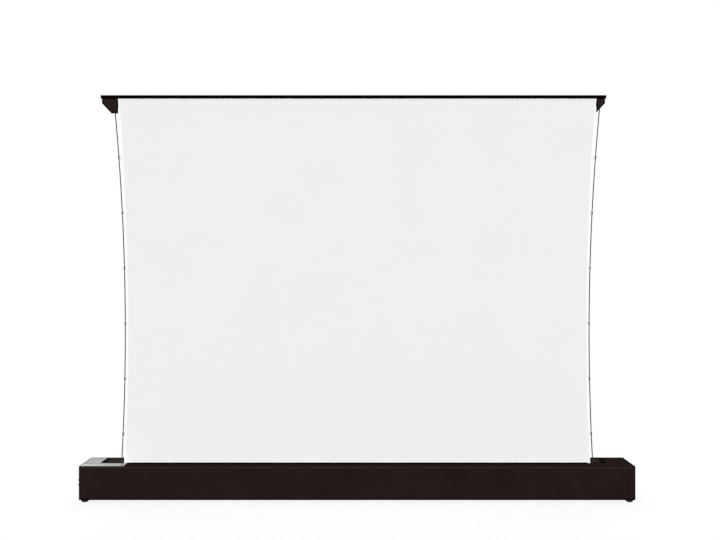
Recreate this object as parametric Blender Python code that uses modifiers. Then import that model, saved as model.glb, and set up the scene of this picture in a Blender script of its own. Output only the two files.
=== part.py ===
"""Tab-tensioned projection screen that rises out of a low floor case on two folding arms.

Metres, +Z up, front towards -Y, +X to the right. The origin is on the floor under the middle of the case.
The screen is modelled raised. Every piece is its own object, and what moves hangs from an empty on its axis.
"""

import math

import bmesh
import bpy
from mathutils import Vector

# Clearances and sides shared by all pieces
GAP = 0.0003                # between two pieces that touch
OVERRUN = 0.010             # how far a cutter reaches past what it cuts
LAP = 0.004                 # how far two joined shapes reach into each other
WELD = 0.00001              # points this close are one point
SHARP_ANGLE = math.radians(35)
ROUND_SIDES = 24
LEFT, RIGHT = -1, 1
SIDE_NAMES = {LEFT: "left", RIGHT: "right"}

# Case: two aluminium profiles and a base plate between moulded end caps
CASE_DEPTH = 0.174
CASE_HEIGHT = 0.143         # without its feet
CASE_MARGIN = 0.0895        # from the top bar's half length to the case's
FRONT_TOP = 0.062           # top face in front of the slot
REAR_TOP = 0.014            # top face behind the slot
PROFILE_WALL = 0.002
EDGE_RADIUS = 0.0015
FLOOR_FLANGE = 0.018        # inward foot of each profile, under the base plate
SCREW_BOSS = 0.009
BASE_THICKNESS = 0.0025
CAP_LENGTH = 0.034
CAP_WALL = 0.0025
PLATE_LENGTH = 0.188        # top plate at each end, from the case's end
PLATE_THICKNESS = 0.002
PLATE_LEDGE = 0.005         # what the plate rests on
SEAL_WIDTH = 0.0195
SEAL_HEIGHT = 0.005
SEAL_LIP_RISE = 0.0026      # of the wiper's lip over the case
SEAL_LIP_THICKNESS = 0.0015

# Feet and end cap screws
FOOT_HEIGHT = 0.012
FOOT_TOP_RADIUS = 0.0195
FOOT_BASE_RADIUS = 0.0115
FOOT_ROUNDING = 0.002
FOOT_FROM_END = 0.0198
FOOT_FROM_SIDE = 0.022
SCREW_HEAD_RADIUS = 0.0038
SCREW_HEAD_DEPTH = 0.002
SCREW_RADIUS = 0.002
SCREW_LENGTH = 0.050

# Cloth, edge tapes and tension cords
CLOTH_SETBACK = 0.0065      # from the slot's front edge to the cloth
CLOTH_THICKNESS = 0.0006
CLOTH_WAIST_HALF = 0.9941   # half width where the cloth is narrowest
CLOTH_WAIST_RISE = 0.565    # of the waist over the case
CLOTH_FLARE = 0.0391        # gain of the half width from the waist to the top
CLOTH_ROWS = 14
TAPE_WIDTH = 0.020
TAPE_THICKNESS = 0.0008
TAB_COUNT = 6
TAB_HEIGHT = 0.022
TAB_FIRST_RISE = 0.124      # of the lowest tab over the case
TAB_LAST_DROP = 0.2579      # of the highest tab below the cloth's top
CORD_RADIUS = 0.0022
CORD_SETOUT = 0.0075        # from the cloth's waist to the cord
CORD_FLARE = 0.0496
CORD_ROWS = 28
CORD_IN_BRACKET = 0.029     # the cord's end below the top bar's lip
SLEEVE_WALL = 0.0009
SLEEVE_LIP = 0.001          # of a sleeve past its tab
SLEEVE_SIDES = 12

# Top bar: the lid that fits the slot, with the cloth's groove and two ribs below
BAR_OVERHANG = 0.0573       # from the cloth's top corner to the bar's end
BAR_SETOVER = 0.016         # the bar's middle is this far to the left of the cloth's
BAR_HEIGHT = 0.013
BAR_WALL = 0.0022
BAR_PROUD = 0.0005          # of the bar's top over the case's when it is down
BAR_REAR_GAP = 0.004        # from the bar to the slot's rear edge
RIB_HEIGHT = 0.032          # from the bar's top to a rib's foot
RIB_WALL = 0.003
RIB_SETBACK = 0.0095        # from the cloth to the front rib
GROOVE_HALF = 0.0033
GROOVE_MOUTH_HALF = 0.0009
GROOVE_WALL = 0.0016
BATTEN_HALF = 0.0026

# End brackets below the top bar
BRACKET_INSET = 0.005       # from the bar's end
BRACKET_THICKNESS = 0.008
BRACKET_SIDE = 0.0215       # height of the upright side below the lip
BRACKET_SLANT_RUN = 0.040
BRACKET_SLANT_DROP = 0.043
SLOT_END_GAP = 0.0015       # between the bar's end and the slot's

# Roller, motor and their brackets
WRAP_THICKNESS = 0.0009
ROLLER_RADIUS = 0.025
ROLLER_WALL = 0.0015
ROLLER_PLUG = 0.005         # closed end on the idler's side
ROLLER_OVERLENGTH = 0.0068  # from the cords' foot to the roller's end
ROLLER_CLEARANCE = 0.007    # between the wound cloth and the base plate
MOTOR_RADIUS = 0.022
MOTOR_LENGTH = 0.450
MOTOR_HEAD_RADIUS = 0.0225
MOTOR_HEAD_LENGTH = 0.0225
MOTOR_COLLAR_LENGTH = 0.020
MOTOR_STUD_RADIUS = 0.008
MOTOR_SHAFT_RADIUS = 0.006
MOTOR_SHAFT_LENGTH = 0.025
CROWN_WIDTH = 0.018
IDLER_RADIUS = 0.006
IDLER_REACH = 0.025         # into the roller
IDLER_HEAD_RADIUS = 0.009
IDLER_HEAD = 0.004
ROLLER_BRACKET_WALL = 0.004
ROLLER_BRACKET_FRONT = 0.028
ROLLER_BRACKET_REAR = 0.016
ROLLER_BRACKET_RISE = 0.035
ROLLER_BRACKET_FOOT = 0.018

# Folding arms
PIVOT_X = 0.150             # base and top pivots, from the middle
PIVOT_CLEARANCE = 0.0112    # between a base knuckle and the base plate
FOLDED_ANGLE = math.radians(2.0)
RAISED_ANGLE = math.radians(65.4)
KNEE_GAP = 0.0026           # between a folded knee and the slot's end
ARM_HEIGHT = 0.030
ARM_WALL = 0.002
ARM_SPACING = 0.006         # between the upper and the lower arm
ARM_CLEARANCE = 0.009       # between an arm and the bar's rib beside it
KNUCKLE_RIM = 0.002
KNUCKLE_NECK = 0.028        # from the pivot to the tube's end
SPIGOT_LENGTH = 0.045
PIN_RADIUS = 0.006
PIN_HEAD_RADIUS = 0.010
PIN_HEAD = 0.003
EAR_WALL = 0.004
EAR_HALF = 0.018
EAR_END = 0.015             # from the pivot to the ear's end
BASE_EAR_FLANGE = 0.012
TOP_EAR_FLANGE = 0.0042
SPRING_SHARE = 0.6          # of the room across an arm's tube

# Buttons, switch module and power inlet
BUTTON_RADIUS = 0.004
BUTTON_PROUD = 0.0032
BUTTON_TRAVEL = 0.0015
BUTTON_FROM_FRONT = 0.009
BUTTON_PITCH = 0.0212
BUTTON_MID_RISE = 0.0739    # between the two, over the case's underside
BUTTON_COLLAR = 0.0014
BUTTON_COLLAR_THICKNESS = 0.0015
BUTTON_STEM_RADIUS = 0.0025
BUTTON_STEM = 0.004
MODULE_LENGTH = 0.018
MODULE_DEPTH = 0.020
MODULE_HEIGHT = 0.056
INLET_FROM_REAR = 0.042
INLET_RISE = 0.045
INLET_FLANGE_WIDTH = 0.034
INLET_FLANGE_HEIGHT = 0.026
INLET_BODY_WIDTH = 0.024
INLET_BODY_HEIGHT = 0.016
INLET_BODY_LENGTH = 0.024
INLET_SOCKET_WIDTH = 0.0172
INLET_SOCKET_HEIGHT = 0.0092
INLET_SOCKET_DEPTH = 0.016
INLET_PIN_RADIUS = 0.0012
INLET_PIN_HALF_PITCH = 0.0043
INLET_PIN_SETBACK = 0.002

# Places worked out from the sizes above
FRONT, REAR = -CASE_DEPTH / 2, CASE_DEPTH / 2
CASE_BASE = FOOT_HEIGHT
CASE_TOP = CASE_BASE + CASE_HEIGHT
SLOT_FRONT = FRONT + FRONT_TOP
SLOT_REAR = REAR - REAR_TOP
CLOTH_Y = SLOT_FRONT + CLOTH_SETBACK
TAPE_Y = CLOTH_Y + CLOTH_THICKNESS / 2 + GAP + TAPE_THICKNESS / 2
INLET_Y = REAR - INLET_FROM_REAR
BAR_HALF = CLOTH_WAIST_HALF + CLOTH_FLARE + BAR_OVERHANG
BAR_LEFT, BAR_RIGHT = -BAR_SETOVER - BAR_HALF, -BAR_SETOVER + BAR_HALF
BAR_ENDS = {LEFT: BAR_LEFT, RIGHT: BAR_RIGHT}
BRACKET_SIDES = {side: BAR_ENDS[side] - side * BRACKET_INSET for side in BAR_ENDS}
SLOT_ENDS = {side: BAR_ENDS[side] + side * SLOT_END_GAP for side in BAR_ENDS}
CASE_HALF = BAR_HALF + CASE_MARGIN
PROFILE_HALF = CASE_HALF - CAP_LENGTH - GAP
FLANGE_HALF = CASE_HALF - PLATE_LENGTH - GAP
PLATE_SEAT = CASE_TOP - PLATE_THICKNESS - GAP
BASE_TOP = CASE_BASE + PROFILE_WALL + GAP + BASE_THICKNESS
KNUCKLE_RADIUS = ARM_HEIGHT / 2 + KNUCKLE_RIM
LINK = (SLOT_ENDS[RIGHT] - KNEE_GAP - KNUCKLE_RADIUS - PIVOT_X) / math.cos(FOLDED_ANGLE)
BASE_PIVOT_Z = BASE_TOP + PIVOT_CLEARANCE + KNUCKLE_RADIUS
KNEE_X = PIVOT_X + LINK * math.cos(RAISED_ANGLE)
KNEE_Z = BASE_PIVOT_Z + LINK * math.sin(RAISED_ANGLE)
TOP_PIVOT_Z = KNEE_Z + LINK * math.sin(RAISED_ANGLE)
FOLDED_PIVOT_Z = BASE_PIVOT_Z + 2 * LINK * math.sin(FOLDED_ANGLE)
BAR_BASE = TOP_PIVOT_Z + CASE_TOP + BAR_PROUD - BAR_HEIGHT - FOLDED_PIVOT_Z
BAR_TOP = BAR_BASE + BAR_HEIGHT
BAR_UNDER = BAR_TOP - BAR_WALL
CLOTH_TOP = BAR_BASE + GROOVE_WALL + GAP
WAIST_Z = CASE_TOP + CLOTH_WAIST_RISE
TAB_RISE = CASE_TOP + TAB_FIRST_RISE
TAB_PITCH = (CLOTH_TOP - TAB_LAST_DROP - TAB_RISE) / (TAB_COUNT - 1)
WRAP_RADIUS = ROLLER_RADIUS + GAP + WRAP_THICKNESS
ROLLER_Y = CLOTH_Y - CLOTH_THICKNESS / 2 - GAP - WRAP_RADIUS
ROLLER_Z = BASE_TOP + ROLLER_CLEARANCE + WRAP_RADIUS
RIB_FRONT = CLOTH_Y + RIB_SETBACK
BAR_REAR = SLOT_REAR - BAR_REAR_GAP
ARM_ROOM = BAR_REAR - RIB_FRONT - 2 * RIB_WALL
ARM_DEPTH = (ARM_ROOM - ARM_SPACING) / 2 - ARM_CLEARANCE
SPRING_RADIUS = SPRING_SHARE * (ARM_DEPTH / 2 - ARM_WALL)
LIFT_Y = (RIB_FRONT + BAR_REAR) / 2
UPPER_Y = LIFT_Y - (ARM_DEPTH + ARM_SPACING) / 2
LOWER_Y = LIFT_Y + (ARM_DEPTH + ARM_SPACING) / 2

# Materials: linear colour, roughness, metallic
BROWN_PAINT = ((0.0203, 0.0123, 0.0110), 0.42, 0.0)
BROWN_PLASTIC = ((0.0190, 0.0120, 0.0105), 0.50, 0.0)
BRUSHED = ((0.48, 0.48, 0.46), 0.30, 1.0)
STEEL = ((0.55, 0.55, 0.56), 0.35, 1.0)
ZINC = ((0.42, 0.43, 0.45), 0.45, 1.0)
BLACK_PAINT = ((0.012, 0.012, 0.013), 0.45, 0.0)
BLACK_PLASTIC = ((0.010, 0.010, 0.011), 0.55, 0.0)
RUBBER = ((0.008, 0.008, 0.008), 0.85, 0.0)
CLOTH = ((0.863, 0.863, 0.863), 0.90, 0.0)
TAPE = ((0.80, 0.80, 0.80), 0.80, 0.0)
CORD = ((0.030, 0.029, 0.028), 0.70, 0.0)

for leftover in list(bpy.data.objects):
    bpy.data.objects.remove(leftover, do_unlink=True)
PARTS = bpy.data.collections.new("projection_screen")
CUTTERS = bpy.data.collections.new("cutters")
for group in (PARTS, CUTTERS):
    bpy.context.scene.collection.children.link(group)


def place(name, mesh, location=(0, 0, 0), rotation=(0, 0, 0), carrier=None):
    """Puts a mesh or curve in the scene as one named object, under its carrier if it has one."""
    piece = bpy.data.objects.new(name, mesh)
    piece.location = location
    piece.rotation_euler = rotation
    piece.parent = carrier
    PARTS.objects.link(piece)
    return piece


def finish(piece, look):
    """Gives a piece its own Principled material."""
    colour, roughness, metallic = look
    material = bpy.data.materials.new(piece.name)
    material.use_nodes = True
    shader = material.node_tree.nodes["Principled BSDF"]
    shader.inputs["Base Color"].default_value = (*colour, 1.0)
    shader.inputs["Roughness"].default_value = roughness
    shader.inputs["Metallic"].default_value = metallic
    piece.data.materials.append(material)
    return piece


def axis_empty(name, location, rotation=(0, 0, 0)):
    """The empty that a moving body hangs from, with its origin on the joint's axis."""
    empty = bpy.data.objects.new(name, None)
    empty.location = location
    empty.rotation_euler = rotation
    PARTS.objects.link(empty)
    bpy.context.view_layer.update()
    return empty


def hang(piece, carrier):
    """Parents a piece that was modelled in world places to its axis empty."""
    piece.parent = carrier
    piece.matrix_parent_inverse = carrier.matrix_world.inverted()
    return piece


def smooth(mesh):
    """Shades a mesh smooth, with its real corners left sharp."""
    mesh.shade_smooth()
    mesh.set_sharp_from_angle(angle=SHARP_ANGLE)
    return mesh


def combine(piece, tool, operation):
    """Cuts a piece with a tool, or joins the tool's shape to it."""
    boolean = piece.modifiers.new(tool.name, "BOOLEAN")
    boolean.operation = operation
    boolean.object = tool
    PARTS.objects.unlink(tool)
    CUTTERS.objects.link(tool)
    tool.hide_render = True
    tool.display_type = "WIRE"
    return piece


def box(name, low, high, carrier=None):
    """A box between two opposite corners."""
    low, high = Vector(low), Vector(high)
    work = bmesh.new()
    bmesh.ops.create_cube(work, size=1)
    bmesh.ops.scale(work, vec=high - low, verts=work.verts)
    mesh = bpy.data.meshes.new(name)
    work.to_mesh(mesh)
    work.free()
    return place(name, mesh, (low + high) / 2, (0, 0, 0), carrier)


def prism(name, outline, low, high, along, carrier=None):
    """A closed flat outline given thickness from low to high along one axis.

    The outline is drawn in (Y, Z), (X, Z) or (X, Y) for a thickness along X, Y or Z. The piece has its
    origin in the outline's middle.
    """
    mid_across, mid_up = ((min(places) + max(places)) / 2 for places in zip(*outline))
    half = (high - low) / 2
    work = bmesh.new()
    corners = [work.verts.new((across - mid_across, up - mid_up, -half)) for across, up in outline]
    drawn = work.faces.new(corners)
    raised = bmesh.ops.extrude_face_region(work, geom=[drawn], use_keep_orig=True)["geom"]
    far_corners = [item for item in raised if isinstance(item, bmesh.types.BMVert)]
    bmesh.ops.translate(work, vec=(0, 0, high - low), verts=far_corners)
    bmesh.ops.recalc_face_normals(work, faces=work.faces)
    mesh = bpy.data.meshes.new(name)
    work.to_mesh(mesh)
    work.free()
    quarter = math.pi / 2
    turn = {"X": (quarter, 0, quarter), "Y": (quarter, 0, 0), "Z": (0, 0, 0)}[along]
    middle = (low + high) / 2
    shift = {
        "X": (middle, mid_across, mid_up), "Y": (mid_across, middle, mid_up),
        "Z": (mid_across, mid_up, middle),
    }[along]
    return place(name, smooth(mesh), shift, turn, carrier)


AXIS_TURNS = {"X": (0, math.pi / 2, 0), "Y": (-math.pi / 2, 0, 0), "Z": (0, 0, 0)}


def turned(name, profile, location, along, ring=False, carrier=None):
    """A profile of (radius, place along the axis) points turned about an axis, highest place first."""
    work = bmesh.new()
    points = [work.verts.new((radius, 0, rise)) for radius, rise in profile]
    pairs = zip(points, points[1:] + points[:1]) if ring else zip(points, points[1:])
    for first, second in pairs:
        work.edges.new((first, second))
    mesh = bpy.data.meshes.new(name)
    work.to_mesh(mesh)
    work.free()
    piece = place(name, mesh, location, AXIS_TURNS[along], carrier)
    screw = piece.modifiers.new("turning", "SCREW")
    screw.axis = "Z"
    screw.steps = ROUND_SIDES
    screw.render_steps = ROUND_SIDES
    screw.use_merge_vertices = True
    screw.merge_threshold = WELD
    bpy.context.view_layer.update()
    evaluated = piece.evaluated_get(bpy.context.evaluated_depsgraph_get())
    piece.data = smooth(bpy.data.meshes.new_from_object(evaluated))
    piece.data.name = name
    piece.modifiers.clear()
    return piece


def rod(name, radius, low, high, location, along, sides=ROUND_SIDES, carrier=None):
    """A round bar from low to high along an axis through the location."""
    work = bmesh.new()
    bmesh.ops.create_cone(
        work, cap_ends=True, segments=sides, radius1=radius, radius2=radius, depth=high - low
    )
    bmesh.ops.translate(work, vec=(0, 0, (low + high) / 2), verts=work.verts)
    mesh = bpy.data.meshes.new(name)
    work.to_mesh(mesh)
    work.free()
    return place(name, smooth(mesh), location, AXIS_TURNS[along], carrier)


def arc(centre, radius, start, end, steps):
    """Points on an arc, from one angle to another."""
    angles = [start + (end - start) * step / steps for step in range(steps + 1)]
    return [(centre[0] + radius * math.cos(a), centre[1] + radius * math.sin(a)) for a in angles]


def flare_share(height):
    """Share of the flare at a height: none at the waist, all of it at the cloth's top."""
    return ((height - WAIST_Z) / (CLOTH_TOP - WAIST_Z)) ** 2


def cloth_half(height):
    """Half width of the cloth at a height."""
    return CLOTH_WAIST_HALF + CLOTH_FLARE * flare_share(height)


def cord_half(height):
    """Distance of each tension cord from the middle at a height."""
    return CLOTH_WAIST_HALF + CORD_SETOUT + CORD_FLARE * flare_share(height)


def cord_lean(height):
    """Angle of the cord from the vertical at a height."""
    rise = CLOTH_TOP - WAIST_Z
    return math.atan(2 * CORD_FLARE * (height - WAIST_Z) / rise**2)


def wall_foot(face, inward):
    """The lower points of a case profile in (Y, Z), from its outer corner to the plate's ledge."""
    inner = face + inward * PROFILE_WALL
    boss = inner + inward * SCREW_BOSS
    flange = face + inward * FLOOR_FLANGE
    floor = CASE_BASE + PROFILE_WALL
    ledge = inner + inward * PLATE_LEDGE
    return [
        (face, CASE_BASE), (flange, CASE_BASE), (flange, floor), (boss, floor),
        (boss, floor + SCREW_BOSS), (inner, floor + SCREW_BOSS),
        (inner, PLATE_SEAT - PROFILE_WALL), (ledge, PLATE_SEAT - PROFILE_WALL),
        (ledge, CASE_TOP - PROFILE_WALL),
    ]


def screw_profile(extra, over):
    """A countersunk screw's half outline, or with some extra the hole for it."""
    return [
        (0, over), (SCREW_HEAD_RADIUS + extra, over), (SCREW_HEAD_RADIUS + extra, 0),
        (SCREW_RADIUS + extra, -SCREW_HEAD_DEPTH),
        (SCREW_RADIUS + extra, -SCREW_LENGTH - extra), (0, -SCREW_LENGTH - extra),
    ]


def screw_places():
    """Where the end cap screws sit: the middles of the profiles' bosses, in (Y, Z)."""
    across = CASE_DEPTH / 2 - PROFILE_WALL - SCREW_BOSS / 2
    rise = CASE_BASE + PROFILE_WALL + SCREW_BOSS / 2
    return {"front": (-across, rise), "rear": (across, rise)}


def case_profile(name, face, inward, top_points, slot_edge):
    """One long side of the case, with its flange cut back where the top plates lie."""
    profile = prism(name, wall_foot(face, inward) + top_points, -PROFILE_HALF, PROFILE_HALF, "X")
    inner = face + inward * PROFILE_WALL
    ledge = inner + inward * (PLATE_LEDGE + GAP)
    past = slot_edge + inward * OVERRUN
    deep = CASE_TOP - SEAL_HEIGHT - OVERRUN
    seat = [
        (inner, PLATE_SEAT), (ledge, PLATE_SEAT), (ledge, deep), (past, deep),
        (past, CASE_TOP + OVERRUN), (inner, CASE_TOP + OVERRUN),
    ]
    boss_end = PROFILE_HALF - (SCREW_LENGTH - CAP_LENGTH) - GAP
    across, rise = screw_places()[name.split("_")[0]]
    for side, label in SIDE_NAMES.items():
        near, far = sorted((side * FLANGE_HALF, side * (PROFILE_HALF + OVERRUN)))
        combine(profile, prism(f"{name}_{label}_seat", seat, near, far, "X"), "DIFFERENCE")
        near, far = sorted((side * boss_end, side * (PROFILE_HALF + OVERRUN)))
        hole = rod(f"{name}_{label}_hole", SCREW_RADIUS + GAP, near, far, (0, across, rise), "X")
        combine(profile, hole, "DIFFERENCE")
    return finish(profile, BROWN_PAINT)


def case_profiles():
    """Front and rear aluminium profiles, and the slot's seal in the front one."""
    seal_front = SLOT_FRONT - SEAL_WIDTH
    seal_base = CASE_TOP - SEAL_HEIGHT
    top_front = [
        (seal_front - GAP - PROFILE_WALL, CASE_TOP - PROFILE_WALL),
        (seal_front - GAP - PROFILE_WALL, seal_base - GAP - PROFILE_WALL),
        (SLOT_FRONT, seal_base - GAP - PROFILE_WALL), (SLOT_FRONT, seal_base - GAP),
        (seal_front - GAP, seal_base - GAP), (seal_front - GAP, CASE_TOP),
        *arc((FRONT + EDGE_RADIUS, CASE_TOP - EDGE_RADIUS), EDGE_RADIUS, math.pi / 2, math.pi, 3),
    ]
    top_rear = [
        (SLOT_REAR, CASE_TOP - PROFILE_WALL), (SLOT_REAR, CASE_TOP),
        *arc((REAR - EDGE_RADIUS, CASE_TOP - EDGE_RADIUS), EDGE_RADIUS, math.pi / 2, 0, 3),
    ]
    case_profile("front_profile", FRONT, 1, top_front, SLOT_FRONT)
    case_profile("rear_profile", REAR, -1, top_rear, SLOT_REAR)
    lip_front, lip_top = SLOT_FRONT - SEAL_LIP_THICKNESS, CASE_TOP + SEAL_LIP_RISE
    section = [
        (seal_front, seal_base), (SLOT_FRONT, seal_base), (SLOT_FRONT, lip_top),
        (lip_front, lip_top), (lip_front, CASE_TOP), (seal_front, CASE_TOP),
    ]
    seal = prism("slot_seal", section, -FLANGE_HALF, FLANGE_HALF, "X")
    finish(seal, RUBBER)


def base_plate():
    """Steel plate on the profiles' inner flanges. It carries the arms and the roller."""
    half = CASE_DEPTH / 2 - PROFILE_WALL - SCREW_BOSS - GAP
    plate = box(
        "base_plate",
        (-PROFILE_HALF, -half, BASE_TOP - BASE_THICKNESS), (PROFILE_HALF, half, BASE_TOP),
    )
    finish(plate, ZINC)


def top_plates():
    """Brushed control plate on the left and brown plate on the right, each with an end of the slot."""
    edge = CASE_DEPTH / 2 - PROFILE_WALL - GAP
    for side, name, look in (
        (LEFT, "control_plate", BRUSHED), (RIGHT, "right_top_plate", BROWN_PAINT),
    ):
        outer = side * (CASE_HALF - CAP_WALL - GAP)
        inner = side * (CASE_HALF - PLATE_LENGTH)
        slot_end = SLOT_ENDS[side]
        outline = [
            (outer, -edge), (inner, -edge), (inner, SLOT_FRONT), (slot_end, SLOT_FRONT),
            (slot_end, SLOT_REAR), (inner, SLOT_REAR), (inner, edge), (outer, edge),
        ]
        plate = prism(name, outline, CASE_TOP - PLATE_THICKNESS, CASE_TOP, "Z")
        finish(plate, look)


def end_cap(side):
    """Moulded hollow cap over the profiles' ends, open inwards and recessed for its top plate."""
    name = f"{SIDE_NAMES[side]}_end_cap"
    near, far = sorted((side * (CASE_HALF - CAP_LENGTH), side * CASE_HALF))
    cap = box(name, (near, FRONT, CASE_BASE), (far, REAR, CASE_TOP))
    bevel = cap.modifiers.new("rounded edges", "BEVEL")
    bevel.width = EDGE_RADIUS
    bevel.segments = 2
    near, far = sorted((side * (PROFILE_HALF - OVERRUN), side * (CASE_HALF - CAP_WALL)))
    cavity = box(
        f"{name}_cavity",
        (near, FRONT + CAP_WALL, CASE_BASE + CAP_WALL), (far, REAR - CAP_WALL, PLATE_SEAT - CAP_WALL),
    )
    recess = box(
        f"{name}_recess",
        (near, FRONT + PROFILE_WALL, PLATE_SEAT), (far, REAR - PROFILE_WALL, CASE_TOP + OVERRUN),
    )
    combine(cap, cavity, "DIFFERENCE")
    combine(cap, recess, "DIFFERENCE")
    for label, (across, rise) in screw_places().items():
        place_on_end = (side * CASE_HALF, across, rise)
        hole = turned(f"{name}_{label}_hole", screw_profile(GAP, OVERRUN), place_on_end, "X")
        screw = turned(f"{SIDE_NAMES[side]}_{label}_screw", screw_profile(0, 0), place_on_end, "X")
        for piece in (hole, screw):
            piece.rotation_euler = (0, side * math.pi / 2, 0)
        combine(cap, hole, "DIFFERENCE")
        finish(screw, ZINC)
    return cap


def end_caps():
    """The left cap with the button holes and the right cap with the inlet's window."""
    left = end_cap(LEFT)
    for name, place_on_axis in button_places().items():
        hole = rod(
            f"{name}_hole", BUTTON_RADIUS + GAP, -OVERRUN, CAP_WALL + OVERRUN, place_on_axis, "X"
        )
        combine(left, hole, "DIFFERENCE")
    finish(left, BROWN_PLASTIC)
    right = end_cap(RIGHT)
    middle = CASE_BASE + INLET_RISE
    wide, high = INLET_BODY_WIDTH / 2 + GAP, INLET_BODY_HEIGHT / 2 + GAP
    window = box(
        "inlet_window",
        (CASE_HALF - CAP_WALL - OVERRUN, INLET_Y - wide, middle - high),
        (CASE_HALF + OVERRUN, INLET_Y + wide, middle + high),
    )
    finish(combine(right, window, "DIFFERENCE"), BROWN_PLASTIC)


def feet():
    """Four turned rubber feet under the end caps."""
    outline = [
        (0, CASE_BASE - GAP), (FOOT_TOP_RADIUS, CASE_BASE - GAP),
        (FOOT_TOP_RADIUS, CASE_BASE - GAP - FOOT_ROUNDING),
        (FOOT_BASE_RADIUS, 0), (0, 0),
    ]
    for side, label in SIDE_NAMES.items():
        for row, sign in (("front", -1), ("rear", 1)):
            spot = (side * (CASE_HALF - FOOT_FROM_END), sign * (CASE_DEPTH / 2 - FOOT_FROM_SIDE), 0)
            finish(turned(f"{label}_{row}_foot", outline, spot, "Z"), RUBBER)


def button_places():
    """Where the two buttons' axes meet the left end of the case."""
    across = FRONT + BUTTON_FROM_FRONT
    middle = CASE_BASE + BUTTON_MID_RISE
    return {
        "raise_button": (-CASE_HALF, across, middle + BUTTON_PITCH / 2),
        "lower_button": (-CASE_HALF, across, middle - BUTTON_PITCH / 2),
    }


def buttons():
    """Two sprung push buttons, kept in the cap by a collar, and the switch module behind them."""
    collar = CAP_WALL + GAP
    stem = collar + BUTTON_COLLAR_THICKNESS
    end = stem + BUTTON_STEM
    outline = [
        (0, end), (BUTTON_STEM_RADIUS, end), (BUTTON_STEM_RADIUS, stem),
        (BUTTON_RADIUS + BUTTON_COLLAR, stem), (BUTTON_RADIUS + BUTTON_COLLAR, collar),
        (BUTTON_RADIUS, collar), (BUTTON_RADIUS, -BUTTON_PROUD), (0, -BUTTON_PROUD),
    ]
    for name, spot in button_places().items():
        finish(turned(name, outline, spot, "X"), BLACK_PLASTIC)
    start = -CASE_HALF + end + BUTTON_TRAVEL + GAP
    middle = CASE_BASE + BUTTON_MID_RISE
    module = box(
        "switch_module",
        (start, FRONT + CAP_WALL + GAP, middle - MODULE_HEIGHT / 2),
        (start + MODULE_LENGTH, FRONT + CAP_WALL + GAP + MODULE_DEPTH, middle + MODULE_HEIGHT / 2),
    )
    finish(module, BLACK_PLASTIC)


def power_inlet():
    """Two-pin appliance inlet in the right end cap: flange, body, socket and pins as one piece."""
    across, middle = INLET_Y, CASE_BASE + INLET_RISE
    face = CASE_HALF + BUTTON_PROUD

    def block(name, start, end, width, height):
        return box(
            name, (start, across - width / 2, middle - height / 2),
            (end, across + width / 2, middle + height / 2),
        )

    inlet = block("power_inlet", CASE_HALF + GAP, face, INLET_FLANGE_WIDTH, INLET_FLANGE_HEIGHT)
    body_end = CASE_HALF - INLET_BODY_LENGTH
    body = block("inlet_body", body_end, face - GAP, INLET_BODY_WIDTH, INLET_BODY_HEIGHT)
    socket_end = face - INLET_SOCKET_DEPTH
    socket = block(
        "inlet_socket", socket_end, face + OVERRUN, INLET_SOCKET_WIDTH, INLET_SOCKET_HEIGHT
    )
    combine(inlet, body, "UNION")
    combine(inlet, socket, "DIFFERENCE")
    for label, sign in (("front", -1), ("rear", 1)):
        pin = rod(
            f"inlet_{label}_pin", INLET_PIN_RADIUS, socket_end - GAP, face - INLET_PIN_SETBACK,
            (0, across + sign * INLET_PIN_HALF_PITCH, middle), "X", sides=ROUND_SIDES // 2,
        )
        combine(inlet, pin, "UNION")
    finish(inlet, BLACK_PLASTIC)


def roller_half():
    """Half length of the roller tube: past the cords' foot, which winds beside the cloth."""
    return cord_half(ROLLER_Z) + ROLLER_OVERLENGTH


def roller():
    """Roller tube with the cloth's last turns, and the crown by which the motor drives it."""
    half = roller_half()
    axis = axis_empty("roller_axis", (0, ROLLER_Y, ROLLER_Z))
    bore = ROLLER_RADIUS - ROLLER_WALL
    tube = [
        (ROLLER_RADIUS, half), (ROLLER_RADIUS, -half), (bore, -half), (bore, half - ROLLER_PLUG),
        (IDLER_RADIUS + GAP, half - ROLLER_PLUG), (IDLER_RADIUS + GAP, half),
    ]
    finish(turned("roller_tube", tube, (0, 0, 0), "X", ring=True, carrier=axis), STEEL)
    wide = cloth_half(ROLLER_Z)
    inner = ROLLER_RADIUS + GAP
    wrap = [(WRAP_RADIUS, wide), (WRAP_RADIUS, -wide), (inner, -wide), (inner, wide)]
    finish(turned("cloth_wrap", wrap, (0, 0, 0), "X", ring=True, carrier=axis), CLOTH)
    middle = motor_end() + MOTOR_SHAFT_LENGTH / 2
    rim, eye = bore - GAP, MOTOR_SHAFT_RADIUS + GAP
    low, high = middle - CROWN_WIDTH / 2, middle + CROWN_WIDTH / 2
    crown = [(rim, high), (rim, low), (eye, low), (eye, high)]
    finish(turned("drive_crown", crown, (0, 0, 0), "X", ring=True, carrier=axis), BLACK_PLASTIC)


def motor_end():
    """Where the motor's barrel ends and its output shaft begins, along X."""
    return -roller_half() - GAP + MOTOR_COLLAR_LENGTH + MOTOR_LENGTH


def bracket_face():
    """Inner face of each roller bracket, from the middle."""
    return roller_half() + MOTOR_HEAD_LENGTH + 2 * GAP


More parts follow.
